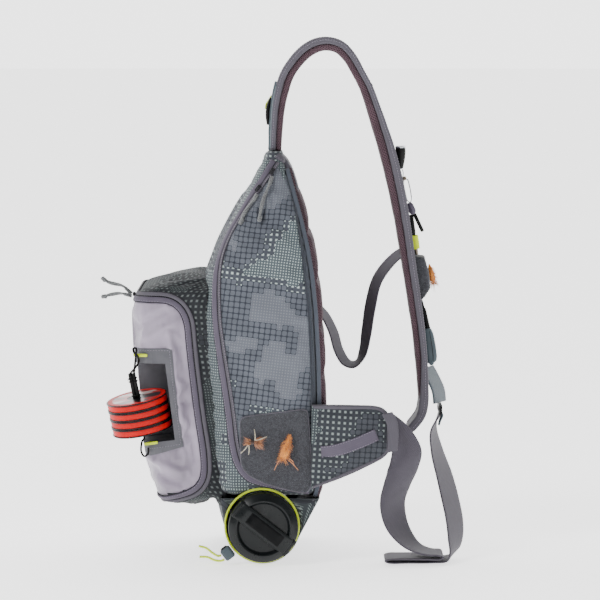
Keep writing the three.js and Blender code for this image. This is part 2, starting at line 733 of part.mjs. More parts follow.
function addSpools() {
  const rim = spoolDiameter / 2;
  const bore = spoolBore / 2;
  const flangeEdge = 0.12;
  const band = rim - 1.2;
  for (let i = 0; i < spoolCount; i++) {
    const low = onSpoolAxis(i * spoolPitch);
    const high = onSpoolAxis(i * spoolPitch + spoolThickness);
    const body = turned(low, high, [
      { along: 0, radius: rim },
      { along: flangeEdge, radius: rim },
      { along: flangeEdge, radius: band },
      { along: 1 - flangeEdge, radius: band },
      { along: 1 - flangeEdge, radius: rim },
      { along: 1, radius: rim },
    ], 16);
    const hole = turned(onSpoolAxis(-spoolPitch), onSpoolAxis(spoolCount * spoolPitch + spoolPitch), [
      { along: 0, radius: bore },
      { along: 1, radius: bore },
    ], 8);
    add(`spool_${i + 1}`, body.subtract(hole), redBand);
  }
}

function addTippetBar() {
  const stack = spoolCount * spoolPitch;
  const nearFace = -pocketWidth / 2 - flangeThickness - clearance;
  const topTab = at(pocketX(0.86), nearFace - 3.5, pocketZ(0.345));
  const lowTab = at(pocketX(0.74), nearFace - 3.5, pocketZ(0.74));
  const dip = (spoolDiameter / 2) * Math.sin(radians(spoolNod));
  const under = spoolFoot.z - dip - spoolBarDiameter / 2 - clearance;
  const route = [
    topTab,
    topTab.clone().add(at(-3, 2, -9)),
    onSpoolAxis(stack + 14),
    onSpoolAxis(stack + 4),
    onSpoolAxis(stack / 2),
    onSpoolAxis(-3),
    at(spoolFoot.x + 2, spoolFoot.y - 10, under),
    at(spoolFoot.x + 3, nearFace, under),
    at(spoolFoot.x + 4, nearFace - 7, under - 5),
    at(lowTab.x - 3, nearFace - 5, lowTab.z - 5),
    lowTab,
  ];
  add("tippet_bar", tube(route, spoolBarDiameter, 8, 20), blackPlastic);
  const tabSize = [17, 2, 5];
  const tabY = nearFace - clearance - tabSize[1] / 2;
  add("tab_upper", block(at(pocketX(0.86), tabY, topTab.z + 5.8), tabSize), limeFabric);
  add("tab_lower", block(at(pocketX(0.74), tabY, lowTab.z + 5.8), tabSize, 8), limeFabric);
}

// Shoulder strap
const strapCurve = new THREE.CatmullRomCurve3(
  strapLine.map(({ across, down }) => at(across * strapReach, 0, strapThickness / 2 - down * strapDrop)),
  false,
  "centripetal",
);

// The strap's middle, direction and outward normal at a share of its length.
function strapAt(share) {
  const middle = strapCurve.getPointAt(share);
  const along = strapCurve.getTangentAt(share);
  return { middle, along, out: at(-along.z, 0, along.x) };
}
const strapHalf = (share) => (between(strapShape, "along", "width", share) * strapWidth) / 2;
const strapDeep = (share) => between(strapShape, "along", "thickness", share) * strapThickness;
const besideStrap = (share, standOff, y = 0) => {
  const { middle, out } = strapAt(share);
  return middle.clone().addScaledVector(out, strapDeep(share) / 2 + standOff).add(at(0, y, 0));
};

// A layer that follows the strap between two shares of its length and of its thickness.
function strapLayer({ from, to, inner, outer, half, steps, soften = 1.5 }) {
  const rings = Array.from({ length: steps + 1 }, (_, i) => {
    const share = from + ((to - from) * i) / steps;
    const { middle, out } = strapAt(share);
    const low = inner(share);
    const high = outer(share);
    const side = half(share);
    const edge = Math.min(soften, (high - low) * 0.35);
    const corners = [
      [low, side - edge],
      [low + edge, side],
      [high - edge, side],
      [high, side - edge],
      [high, edge - side],
      [high - edge, -side],
      [low + edge, -side],
      [low, edge - side],
    ];
    return corners.map(([lift, y]) => middle.clone().addScaledVector(out, lift).add(at(0, y, 0)));
  });
  return ribbonSkin(rings);
}

function addShoulderStrap() {
  const strapSteps = 29;
  const seam = (share) => strapDeep(share) * (liningShare - 0.5);
  add("shoulder_strap", strapLayer({
    from: 0,
    to: 1,
    inner: (share) => seam(share) + clearance,
    outer: (share) => strapDeep(share) / 2,
    half: strapHalf,
    steps: strapSteps,
    soften: 2.5,
  }), plainFabric);
  add("strap_lining", strapLayer({
    from: 0,
    to: 1,
    inner: (share) => -strapDeep(share) / 2,
    outer: seam,
    half: (share) => strapHalf(share) - 3,
    steps: strapSteps,
    soften: 2.5,
  }), meshFabric);
}

function addStrapAnchor() {
  const face = (share) => strapDeep(share) / 2 + clearance;
  const strip = (from, to, width, low, thickness, steps) =>
    strapLayer({
      from,
      to,
      inner: (share) => face(share) + low,
      outer: (share) => face(share) + low + thickness,
      half: () => width / 2,
      steps,
      soften: 0.8,
    });
  add("strap_anchor", strip(0, 0.122, anchorWidth, 0, anchorThickness, 10), checkFabric);
  const buckleLow = anchorThickness + clearance;
  add("strap_buckle", strip(0.045, 0.092, anchorWidth * 1.1, buckleLow, 4, 6), blackPlastic);
  add("buckle_tab", strip(0.07, 0.082, anchorWidth * 0.5, buckleLow + 4 + clearance, 2, 2), limeFabric);
}

// Tools on the strap's outer face, each at its share of the strap's length and its stand-off
function addRetractor() {
  const top = besideStrap(0.471, 11.5);
  const foot = besideStrap(0.512, 5.2);
  const collar = top.clone().lerp(foot, 0.1);
  add("retractor_body", turned(collar, foot, [
    { along: 0, radius: 6.5 },
    { along: 0.25, radius: 6.2 },
    { along: 0.7, radius: 4.6 },
    { along: 1, radius: 3.2 },
  ]), blackPlastic);
  add("retractor_cap", turned(top, collar.clone().lerp(top, 0.1), [
    { along: 0, radius: 4.5 },
    { along: 0.3, radius: 6.5 },
    { along: 1, radius: 6.5 },
  ]), chrome);
  add("retractor_tab", strapLayer({
    from: 0.484,
    to: 0.506,
    inner: (share) => strapDeep(share) / 2 + clearance,
    outer: (share) => strapDeep(share) / 2 + 2,
    half: () => 8,
    steps: 3,
    soften: 0.5,
  }), webbing);
}

function addSnap() {
  const loop = [
    besideStrap(0.5145, 5),
    besideStrap(0.525, 5.5),
    besideStrap(0.54, 6.5),
    besideStrap(0.552, 9),
    besideStrap(0.566, 9.5),
    besideStrap(0.575, 8),
  ];
  add("snap_wire", tube(loop, 2, 6, 15), chrome);
  const clipTop = besideStrap(0.577, 6.8);
  const clipFoot = besideStrap(0.597, 10.5);
  add("tool_clip", turned(clipTop, clipFoot, [
    { along: 0, radius: 3 },
    { along: 0.15, radius: 5 },
    { along: 0.85, radius: 5 },
    { along: 1, radius: 3.5 },
  ], 10), greyGrip);
}

function addLowerTools() {
  add("tool_rod", turned(besideStrap(0.5985, 11.5), besideStrap(0.63, 18), [
    { along: 0, radius: 1.6 },
    { along: 1, radius: 1.2 },
  ], 10), chrome);
  add("tool_shaft", turned(besideStrap(0.599, 7), besideStrap(0.6355, 6.2), [
    { along: 0, radius: 2.6 },
    { along: 1, radius: 3 },
  ], 10), blackPlastic);
  add("lime_sleeve", turned(besideStrap(0.636, 6.2), besideStrap(0.661, 6.2), [
    { along: 0, radius: 5 },
    { along: 0.12, radius: 5.7 },
    { along: 0.88, radius: 5.7 },
    { along: 1, radius: 5 },
  ], 16), limeFabric);
}

// Foam pentagon on the strap: shares of the strap's length and of the foam's depth
const strapPatchRows = [
  { along: 0.672, proud: 0.17 },
  { along: 0.677, proud: 0.86 },
  { along: 0.705, proud: 1 },
  { along: 0.735, proud: 0.94 },
  { along: 0.748, proud: 0.51 },
  { along: 0.755, proud: 0.17 },
];
const strapPatchProud = (share) => between(strapPatchRows, "along", "proud", share) * strapPatchDepth;

function addStrapPatch() {
  add("strap_fly_patch", strapLayer({
    from: strapPatchRows[0].along,
    to: strapPatchRows.at(-1).along,
    inner: (share) => strapDeep(share) / 2 + clearance,
    outer: (share) => strapDeep(share) / 2 + clearance + strapPatchProud(share),
    half: () => strapWidth * 0.3,
    steps: 12,
    soften: 3,
  }), foam);
}

function addForceps() {
  add("forceps_shaft", turned(besideStrap(0.7575, 5), besideStrap(0.809, 7.2), [
    { along: 0, radius: 1.2 },
    { along: 0.25, radius: 1.4 },
    { along: 0.4, radius: 2.6 },
    { along: 1, radius: 3.2 },
  ], 10), blackPlastic);
  const rings = [
    { along: 0.8105, low: 2.5, high: 10.5 },
    { along: 0.82, low: 1.2, high: 13.5 },
    { along: 0.84, low: 0.6, high: 15.2 },
    { along: 0.86, low: 0.6, high: 15.2 },
    { along: 0.872, low: 1.8, high: 13.5 },
  ];
  const handle = (column) => (share) => strapDeep(share) / 2 + between(rings, "along", column, share);
  add("forceps_handle", strapLayer({
    from: rings[0].along,
    to: rings.at(-1).along,
    inner: handle("low"),
    outer: handle("high"),
    half: () => 6,
    steps: 8,
    soften: 3,
  }), greyGrip);
}

// Lower end of the strap: a check tab, the ladder lock and its slot
const lockPlace = besideStrap(0.951, 17.5);
const lockHeight = 11;

function addLock() {
  const tabFoot = lockHeight / 2 + clearance + 0.3;
  const tab = [
    { middle: besideStrap(0.88, 1.6), half: at(0, webbingWidth * 0.4, 0) },
    { middle: besideStrap(0.9, 8), half: at(0, webbingWidth * 0.4, 0) },
    { middle: besideStrap(0.925, 14.5), half: at(0, webbingWidth * 0.4, 0) },
    { middle: lockPlace.clone().add(at(0, 0, tabFoot)), half: at(0, webbingWidth * 0.4, 0) },
  ];
  add("lock_tab", ribbon(tab, webbingThickness, 12), checkFabric);
  const frame = block(lockPlace, [lockBar, webbingWidth + 2 * lockBar, lockHeight]);
  const slot = block(lockPlace.clone().add(at(0, 0, -1)), [2 * lockBar, webbingWidth + 0.8, 4.5]);
  add("ladder_lock", frame.subtract(slot), blackPlastic);
}

// Webbing loops
const wingEndX = bodyBack + wingLength - 7.5;
const wingFaceY = -bodyWidth / 2;
const wingZ = (down) => bodyBottom + wingRise - down * wingHeight;
const wingEndMiddle = at(
  wingEndX + webbingThickness / 2 + clearance,
  wingFaceY - wingThickness * 0.5 + 0.75 * wingThickness,
  wingZ(0.345),
);

function webbingStations(rows, place, width) {
  return rows.map((row) => {
    const { turn = 90, yaw } = row;
    const flat = Math.sin(radians(turn)) * Math.cos(radians(yaw));
    const deep = Math.sin(radians(turn)) * Math.sin(radians(yaw));
    const half = at(flat, deep, Math.cos(radians(turn))).setLength(width / 2);
    return { middle: place(row), half };
  });
}

function addWebbing() {
  const loopEnd = lockPlace.clone().add(at(0, 0, -lockHeight / 2 - 2 * clearance));
  const way = loopEnd.sub(wingEndMiddle);
  const onLoop = ({ across, side, rise, down }) =>
    wingEndMiddle.clone().add(at(across * way.x, side * way.y, rise * way.z - down * loopDrop));
  const loopStations = webbingStations(loopLine, onLoop, webbingWidth);
  add("shoulder_webbing", ribbon(loopStations, webbingThickness, 52), webbing);
  const onStabiliser = ({ across, down, side }) =>
    at(bodyBack + across * bodyDepth, (side * bodyWidth) / 2, bodyZ(down));
  const stations = webbingStations(stabiliserLine, onStabiliser, stabiliserWidth);
  add("stabiliser_webbing", ribbon(stations, webbingThickness, 22), webbing);
}

function addWing() {
  const near = wingFaceY - wingThickness;
  const rings = wingSections.map(({ along, top, bottom, side }) => {
    const x = wingEndX - (1 - along) * wingLength;
    const z0 = wingZ(top);
    const z1 = wingZ(bottom);
    const y0 = near + side * wingThickness;
    const y1 = y0 + wingThickness;
    const edge = wingThickness * 0.3;
    return [
      at(x, y0 + edge, z0),
      at(x, y1 - edge, z0),
      at(x, y1, z0 - edge),
      at(x, y1, z1 + edge),
      at(x, y1 - edge, z1),
      at(x, y0 + edge, z1),
      at(x, y0, z1 + edge),
      at(x, y0, z0 - edge),
    ];
  });
  add("waist_wing", loft(rings, (p) => [p.y, p.z]), checkFabric);
  const bandRows = [
    { along: 0.09, middle: 0.56 },
    { along: 0.3, middle: 0.515 },
    { along: 0.55, middle: 0.43 },
    { along: 0.75, middle: 0.365 },
    { along: 0.86, middle: 0.33 },
  ];
  const bandHalf = at(0, 0, 7.5);
  const stations = bandRows.map(({ along, middle }) => {
    const side = between(wingSections, "along", "side", along);
    const y = near + side * wingThickness - clearance - 0.9;
    return { middle: at(wingEndX - (1 - along) * wingLength, y, wingZ(middle)), half: bandHalf };
  });
  add("wing_band", ribbon(stations, 1.2, 12), lilacFabric);
}

// Bottle sleeve: a trough of cloth hung from the body's underside, closed at its far end
function sleeveRing(y, radius, widen, rise) {
  const centre = bottleXAt(y);
  const top = bodyBottom - clearance + rise;
  const corners = [bodyX(0.855) - widen, bodyX(-0.02) + widen];
  const tangentAngle = (cornerX, side) => {
    const dx = cornerX - centre;
    const dz = top - bottleNear.z;
    const reach = Math.hypot(dx, dz);
    return Math.atan2(dz, dx) + side * Math.acos(radius / reach);
  };
  const start = tangentAngle(corners[0], 1);
  const stop = tangentAngle(corners[1], -1) + 2 * Math.PI;
  const arcSteps = 14;
  const arc = Array.from({ length: arcSteps + 1 }, (_, i) => {
    const angle = start + ((stop - start) * i) / arcSteps;
    return at(centre + radius * Math.cos(angle), y, bottleNear.z + radius * Math.sin(angle));
  });
  return [at(corners[0], y, top), ...arc, at(corners[1], y, top)];
}

const sleeveNearY = -bodyWidth / 2 + 5;
function addSleeve() {
  const farY = sleeveNearY + sleeveLength;
  const side = (p) => [p.x, p.z];
  const ring = (y, inset, rise) => sleeveRing(y, sleeveOuter - inset, -inset, rise);
  const outer = solid(loft([sleeveNearY, 0, farY].map((y) => ring(y, 0, 0)), side));
  const overrun = 10;
  const room = [sleeveNearY - overrun, 0, farY - sleeveWall].map((y) => ring(y, sleeveWall, overrun));
  add("bottle_sleeve", outer.subtract(solid(loft(room, side))), checkFabric);
  const hemY = sleeveNearY - clearance - hemWidth / 2;
  const rim = new THREE.Shape();
  rim.absarc(0, 0, hemOuter, 0, 2 * Math.PI);
  const hole = new THREE.Path();
  hole.absarc(0, 0, sleeveInner, 0, 2 * Math.PI);
  rim.holes.push(hole);
  const hem = new THREE.ExtrudeGeometry(rim, { depth: hemWidth, bevelEnabled: false, curveSegments: 14 });
  hem.rotateX(Math.PI / 2);
  hem.translate(bottleXAt(hemY), sleeveNearY - clearance, bottleNear.z);
  add("sleeve_hem", hem, limeFabric);
}

function addCordLock() {
  const size = [14, 11, 16];
  const angle = 217;
  const reach = hemOuter + clearance + size[0] / 2;
  const y = sleeveNearY - clearance - size[1] / 2;
  const sideways = reach * Math.cos(radians(angle));
  const place = at(bottleXAt(y) + sideways, y, bottleNear.z + reach * Math.sin(radians(angle)));
  add("cord_lock", block(place, size, -angle), greyGrip);
}

function addBottle() {
  const radius = bottleDiameter / 2;
  const mouth = capHeight + clearance;
  const outside = turned(onBottle(0), onBottle(bottleLength), [
    { along: (mouth - 16) / bottleLength, radius: radius * 0.72 },
    { along: mouth / bottleLength, radius: radius * 0.72 },
    { along: mouth / bottleLength, radius: radius - 3 },
    { along: (mouth + 4) / bottleLength, radius },
    { along: 1 - 4 / bottleLength, radius },
    { along: 1, radius: radius - 4 },
  ], 20);
  const inside = turned(onBottle(0), onBottle(bottleLength), [
    { along: 0, radius: radius * 0.72 - bottleWall },
    { along: (mouth + 3) / bottleLength, radius: radius * 0.72 - bottleWall },
    { along: (mouth + 9) / bottleLength, radius: radius - bottleWall },
    { along: 1 - 4 / bottleLength, radius: radius - bottleWall },
    { along: 1 - bottleWall / bottleLength, radius: radius - 4 - bottleWall },
  ], 14);
  add("bottle_body", outside.subtract(inside), bottlePaint);
  addCap(mouth - 16 - clearance);
}

// Screw cap with a chamfered rim, a recessed face and a raised bar across it.
function addCap(underside) {
  const rim = capRadius;
  const face = rim * 0.76;
  const recess = 5;
  const share = (length) => length / capHeight;
  const shell = turned(onBottle(0), onBottle(capHeight), [
    { along: share(0), radius: face + 1.5 },
    { along: share(5), radius: rim },
    { along: 1, radius: rim },
  ], 28);
  const neckRadius = (bottleDiameter / 2) * 0.72 + clearance;
  const room = turned(onBottle(underside), onBottle(capHeight + 5), [
    { along: 0, radius: neckRadius },
    { along: 1, radius: neckRadius },
  ], 24);
  const dish = turned(onBottle(-5), onBottle(recess), [
    { along: 0, radius: face },
    { along: 1, radius: face - 1.5 },
  ], 28);
  const turn = new THREE.Quaternion().setFromUnitVectors(at(0, 1, 0), bottleAxis);
  const tilt = new THREE.Quaternion().setFromAxisAngle(at(0, 1, 0), radians(55));
  const barPlace = new THREE.Matrix4().compose(onBottle(recess / 2 + 1.5), turn.multiply(tilt), at(1, 1, 1));
  const bar = solid(new THREE.BoxGeometry(2 * face + 1, recess + 1, 22), barPlace);
  add("bottle_cap", shell.subtract(room).subtract(dish).add(bar.intersect(shell)), bottlePaint);
}

// Zip sliders, each flat against the band under it
function addZips() {
  const size = [5, 3.4, 9];
  const slider = (name, x, z) => {
    const step = size[2] / 2;
    const out = at(bodySideY(x + 1, z) - bodySideY(x - 1, z), -2, 0).normalize();
    const slope = at(0, bodySideY(x, z + step) - bodySideY(x, z - step), 2 * step).normalize();
    const across = slope.clone().cross(out).normalize();
    const inward = slope.clone().cross(across);
    const place = at(x, bodySideY(x, z), z).addScaledVector(inward, -size[1] / 2 - sliderLift);
    const matrix = new THREE.Matrix4().makeBasis(across, inward, slope).setPosition(place);
    add(name, solid(new THREE.BoxGeometry(...size), matrix), blackPlastic);
  };
  slider("slider_main_1", bodyX(0.402), bodyZ(0.06));
  slider("slider_main_2", bodyX(0.513), bodyZ(0.108));
  const pocketZipZ = pocketZ(0.082);
  const pocketSlider = at(pocketFrontX(pocketZipZ) - 2.6, -pocketWidth * 0.315, pocketZipZ);
  add("slider_pocket", block(pocketSlider, [size[1], size[2], size[0]]), blackPlastic);
}

function addCords() {
  for (const [name, route] of Object.entries(pullRoutes)) {
    add(name, tube(route, pullDiameter, 7, 6), blackPlastic);
  }
  for (const [name, route] of Object.entries(tailRoutes)) {
    add(name, tube(route, tailDiameter, 7, 5), limeFabric);
  }
}

// Flies stuck in the foam: one slim body each
function addFlies() {
  const foamFace = -bodyWidth / 2 - clearance - patchFoam;
  const fly = (name, centre, size, turn, finish) => {
    const place = new THREE.Matrix4().compose(
      centre,
      new THREE.Quaternion().setFromAxisAngle(at(0, 1, 0), radians(turn)),
      at(...size.map((length) => length / 2)),
    );
    add(name, solid(new THREE.SphereGeometry(1, 10, 6), place), finish);
  };
  const small = [16, 7, 6];
  const large = [13, 9, 34];
  fly("fly_1", at(bodyX(0.56), foamFace - clearance - small[1] / 2, bodyZ(0.834)), small, 15, darkFeather);
  fly("fly_2", at(bodyX(0.28), foamFace - clearance - large[1] / 2, bodyZ(0.855)), large, 12, feather);
  const share = 0.712;
  const third = [8, 9, 26];
  fly("fly_3", besideStrap(share, strapPatchProud(share) + 2 * clearance + third[0] / 2), third, -8, feather);
}

addBody();
addBackPad();
addFlyPatch();
addPocket();
addTippetPatch();
addSpools();
addTippetBar();
addShoulderStrap();
addStrapAnchor();
addRetractor();
addSnap();
addLowerTools();
addStrapPatch();
addForceps();
addLock();
addWebbing();
addWing();
addSleeve();
addCordLock();
addBottle();
addZips();
addCords();
addFlies();

export default bag;
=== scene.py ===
import math

import bmesh
import bpy
import numpy as np
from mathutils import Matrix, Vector, noise
from mathutils.bvhtree import BVHTree


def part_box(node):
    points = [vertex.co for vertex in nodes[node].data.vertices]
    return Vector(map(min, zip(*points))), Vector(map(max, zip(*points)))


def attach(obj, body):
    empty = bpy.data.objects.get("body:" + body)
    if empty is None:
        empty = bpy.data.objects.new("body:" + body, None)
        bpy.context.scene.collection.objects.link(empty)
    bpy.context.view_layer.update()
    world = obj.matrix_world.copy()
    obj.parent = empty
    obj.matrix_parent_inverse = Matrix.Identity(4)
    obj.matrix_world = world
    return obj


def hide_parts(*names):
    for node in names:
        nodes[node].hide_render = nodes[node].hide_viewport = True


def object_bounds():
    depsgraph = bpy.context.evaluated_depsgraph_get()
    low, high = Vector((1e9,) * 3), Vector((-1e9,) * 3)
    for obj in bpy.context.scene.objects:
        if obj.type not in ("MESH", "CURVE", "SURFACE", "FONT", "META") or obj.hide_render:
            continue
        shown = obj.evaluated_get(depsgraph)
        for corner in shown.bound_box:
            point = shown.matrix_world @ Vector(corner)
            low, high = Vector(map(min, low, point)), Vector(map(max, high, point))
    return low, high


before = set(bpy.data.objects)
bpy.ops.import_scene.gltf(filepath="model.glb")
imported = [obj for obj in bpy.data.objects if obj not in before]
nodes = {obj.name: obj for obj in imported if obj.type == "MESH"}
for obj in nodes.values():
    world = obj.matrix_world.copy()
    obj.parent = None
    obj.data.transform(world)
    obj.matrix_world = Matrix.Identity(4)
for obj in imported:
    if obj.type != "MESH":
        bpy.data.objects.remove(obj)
cad_low, cad_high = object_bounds()
MM = 0.001
SIDES = (("near", -1), ("far", 1))


def linked(name, data):
    """A new object in the scene that shows this data."""
    obj = bpy.data.objects.new(name, data)
    bpy.context.scene.collection.objects.link(obj)
    return obj


def box_of(name):
    """The low and high corners of a CAD node."""
    return tuple(np.array(corner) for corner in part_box(name))


def in_mm(rows):
    """Rows of millimetres, as metres."""
    return [tuple(value * MM for value in row) for row in rows]


# Camera, floor and light
def add_camera():
    target = Vector((-0.03125, 0, -0.3124))
    distance = 4.0
    elevation = math.radians(5)
    half_frame = 0.375
    camera = bpy.data.cameras.new("camera")
    camera.lens = 36 * distance / (2 * half_frame)
    camera.sensor_width = 36
    camera.clip_end = 100
    holder = linked("camera", camera)
    holder.location = target + distance * Vector((0, -math.cos(elevation), math.sin(elevation)))
    holder.rotation_euler = (math.pi / 2 - elevation, 0, 0)
    bpy.context.scene.camera = holder


def add_light(name, place, target, size, power):
    lamp = bpy.data.lights.new(name, "AREA")
    lamp.shape = "DISK"
    lamp.size = size
    lamp.energy = power
    holder = linked(name, lamp)
    holder.location = place
    holder.rotation_euler = (Vector(target) - Vector(place)).to_track_quat("-Z", "Y").to_euler()


def add_studio():
    world = bpy.data.worlds.new("studio")
    world.use_nodes = True
    tree = world.node_tree
    background = tree.nodes["Background"]
    background.inputs["Color"].default_value = (1, 1, 1, 1)
    direction = tree.nodes.new("ShaderNodeTexCoord")
    split = tree.nodes.new("ShaderNodeSeparateXYZ")
    level = tree.nodes.new("ShaderNodeMapRange")
    level.interpolation_type = "SMOOTHSTEP"
    for socket, value in (("From Min", -0.3), ("From Max", 0.6), ("To Min", 0.2), ("To Max", 3.2)):
        level.inputs[socket].default_value = value
    tree.links.new(direction.outputs["Generated"], split.inputs[0])
    tree.links.new(split.outputs["Y"], level.inputs["Value"])
    tree.links.new(level.outputs["Result"], background.inputs["Strength"])
    bpy.context.scene.world = world
    middle = (-0.03, 0, -0.3)
    add_light("key", (-2.0, -1.7, 1.5), middle, 1.1, 62)
    add_light("fill", (1.9, -1.9, 0.6), middle, 2.0, 6)
    floor_level = cad_low[2] - 0.0005
    reach = 40
    corners = [(-reach, -reach), (reach, -reach), (reach, reach), (-reach, reach)]
    mesh = bpy.data.meshes.new("floor")
    mesh.from_pydata([(x, y, floor_level) for x, y in corners], [], [(0, 1, 2, 3)])
    floor = linked("floor", mesh)
    paint = Paint("floor_white", 0.9, Emission_Color=(1, 1, 1, 1), Emission_Strength=1.5)
    paint.colour(mottled(paint, (244, 244, 244), paint.place(), 3, 0.01))
    floor.data.materials.append(paint.material)


# Node material helpers
WHITE_POINT = 0.77
DEEPENING = 0.36


def linear(colour):
    """An sRGB colour from 0 to 255 as linear RGBA, deepened for the soft contrast of the studio."""
    shares = [c / 255 for c in colour]
    light = [s / 12.92 if s <= 0.04045 else ((s + 0.055) / 1.055) ** 2.4 for s in shares]
    return (*[s * min(1, s / WHITE_POINT) ** DEEPENING for s in light], 1)


def shaded(colour, share):
    """An sRGB colour as linear RGBA, made darker or lighter by a share."""
    return (*[min(1, c * share) for c in linear(colour)[:3]], 1)


class Paint:
    """A material's node tree, with short ways to add its nodes."""

    def __init__(self, name, roughness=0.7, metallic=0.0, **constants):
        self.material = bpy.data.materials.new(name)
        self.material.use_nodes = True
        self.tree = self.material.node_tree
        self.shader = self.tree.nodes["Principled BSDF"]
        self.shader.inputs["Roughness"].default_value = roughness
        self.shader.inputs["Metallic"].default_value = metallic
        for socket, value in constants.items():
            self.shader.inputs[socket.replace("_", " ")].default_value = value

    def node(self, kind, inputs=None, **settings):
        made = self.tree.nodes.new(kind)
        for key, value in settings.items():
            setattr(made, key, value)
        for key, value in (inputs or {}).items():
            if hasattr(value, "is_linked"):
                self.tree.links.new(value, made.inputs[key])
            else:
                made.inputs[key].default_value = value
        return made

    def math(self, operation, a, b=0.0, c=0.0):
        return self.node("ShaderNodeMath", {0: a, 1: b, 2: c}, operation=operation).outputs[0]

    def vector_math(self, operation, a, b=(0, 0, 0)):
        return self.node("ShaderNodeVectorMath", {0: a, 1: b}, operation=operation).outputs[0]

    def between(self, value, low, high, to_low=0.0, to_high=1.0):
        """A smooth step of value from to_low at low to to_high at high."""
        inputs = {"Value": value, "From Min": low, "From Max": high, "To Min": to_low, "To Max": to_high}
        made = self.node("ShaderNodeMapRange", inputs, interpolation_type="SMOOTHSTEP")
        return made.outputs["Result"]

    def mix(self, share, a, b):
        made = self.node("ShaderNodeMix", data_type="RGBA")
        for socket, value in ((made.inputs[0], share), (made.inputs[6], a), (made.inputs[7], b)):
            if hasattr(value, "is_linked"):
                self.tree.links.new(value, socket)
            else:
                socket.default_value = value
        return made.outputs[2]

    def noise(self, vector, scale, detail=2.0, roughness=0.5):
        inputs = {"Vector": vector, "Scale": scale, "Detail": detail, "Roughness": roughness}
        return self.node("ShaderNodeTexNoise", inputs).outputs["Fac"]

    def place(self):
        """Position on the object in metres."""
        return self.node("ShaderNodeTexCoord").outputs["Object"]

    def cloth_uv(self):
        """Place on the cloth in metres, from the cloth UV map."""
        return self.node("ShaderNodeUVMap", uv_map="cloth").outputs["UV"]

    def split(self, vector):
        made = self.node("ShaderNodeSeparateXYZ", {0: vector})
        return made.outputs[0], made.outputs[1]

    def ripple(self, value, pitch):
        """A sine wave of value with that pitch."""
        return self.math("SINE", self.math("MULTIPLY", value, 2 * math.pi / pitch))

    def cell(self, value, pitch):
        """0 in the middle of each cell of that pitch and 1 at its edges."""
        share = self.math("FRACT", self.math("DIVIDE", value, pitch))
        return self.math("ABSOLUTE", self.math("MULTIPLY_ADD", share, 2.0, -1.0))

    def colour(self, value):
        self.tree.links.new(value, self.shader.inputs["Base Color"])

    def roughness(self, value):
        self.tree.links.new(value, self.shader.inputs["Roughness"])

    def bump(self, height, distance, strength=1.0):
        made = self.node("ShaderNodeBump", {"Height": height, "Strength": strength, "Distance": distance})
        self.tree.links.new(made.outputs["Normal"], self.shader.inputs["Normal"])


def mottled(paint, colour, vector, scale=40, spread=0.12):
    """A colour with soft lighter and darker patches."""
    patches = paint.between(paint.noise(vector, scale), 0.3, 0.7)
    return paint.mix(patches, shaded(colour, 1 - spread), shaded(colour, 1 + spread))


def weave_height(paint, u, v, pitch):
    """Threads that cross over and under each other."""
    across = paint.math("MULTIPLY", paint.ripple(u, pitch), paint.ripple(v, pitch))
    return paint.math("MULTIPLY_ADD", across, 0.5, 0.5)


def gridded_cloth(name, bounds, seed=0.0, tilt=0.0, dark=1.0):
    """Ripstop cloth printed with a stepped camouflage. Along a slow noise, bounds part its plain cloth from
    the dark grid, the coarse pale dots and the fine pale dots."""
    pitch = 6.8 * MM
    paint = Paint(name, 0.8, Sheen_Weight=0.08, Specular_IOR_Level=0.3)
    turn = (0, 0, math.radians(tilt))
    uv = paint.node("ShaderNodeMapping", {"Vector": paint.cloth_uv(), "Rotation": turn}).outputs[0]
    u, v = paint.split(uv)
    cells = paint.vector_math("MULTIPLY", uv, (1 / pitch, 1 / pitch, 0))
    shifted = paint.vector_math("ADD", paint.vector_math("FLOOR", cells), (seed, seed, seed))
    zone = paint.noise(shifted, 0.055, 2.2, 0.55)

    def both(operation, cell_pitch, low, high):
        edges = [paint.between(paint.cell(way, cell_pitch), low, high) for way in (u, v)]
        return paint.math(operation, *edges)

    # tone darkens every colour of this copy by the dark share. On the pocket's and the wing's copies this
    # darkening is painted shade, for cloth that lies in shadow.
    def tone(*colour):
        return tuple(c * dark for c in colour)

    def faint(mask, share):
        return paint.math("MULTIPLY", mask, share)

    line = both("MAXIMUM", pitch, 0.72, 0.95)
    knot = both("MULTIPLY", pitch, 0.35, 0.85)
    fine_dot = both("MULTIPLY", pitch / 2, 0.35, 0.85)
    even_ground = mottled(paint, tone(120, 123, 131), uv, 30, 0.07)
    plain = paint.mix(faint(fine_dot, 0.28), even_ground, linear(tone(176, 184, 188)))
    grid_ground = mottled(paint, tone(112, 116, 124), uv, 30, 0.1)
    gridded = paint.mix(line, grid_ground, linear(tone(72, 76, 86)))
    gridded = paint.mix(faint(knot, 0.7), gridded, linear(tone(58, 62, 72)))
    coarse = paint.mix(faint(line, 0.5), linear(tone(92, 96, 104)), linear(tone(70, 75, 84)))
    coarse = paint.mix(knot, coarse, linear(tone(196, 206, 205)))
    fine_ground = mottled(paint, tone(104, 112, 117), uv, 40, 0.08)
    fine = paint.mix(faint(line, 0.4), fine_ground, linear(tone(84, 92, 98)))
    fine = paint.mix(fine_dot, fine, linear(tone(190, 202, 201)))
    colour = plain
    for bound, area in zip(bounds, (gridded, coarse, fine)):
        colour = paint.mix(paint.math("GREATER_THAN", zone, bound), colour, area)
    paint.colour(colour)
    ripstop = faint(line, 0.5)
    paint.bump(paint.math("ADD", weave_height(paint, u, v, 1.1 * MM), ripstop), 0.25 * MM, 0.6)
    return paint.material


def plain_cloth(name, colour, pitch=1.2 * MM, roughness=0.8):
    """Plainly woven cloth of one colour."""
    paint = Paint(name, roughness, Sheen_Weight=0.2)
    uv = paint.cloth_uv()
    u, v = paint.split(uv)
    thread = weave_height(paint, u, v, pitch)
    # The low places between the threads are painted darker: painted shade in the weave.
    paint.colour(paint.mix(thread, shaded(colour, 0.78), mottled(paint, colour, uv, 45, 0.07)))
    paint.bump(thread, 0.25 * MM, 0.7)
    return paint.material


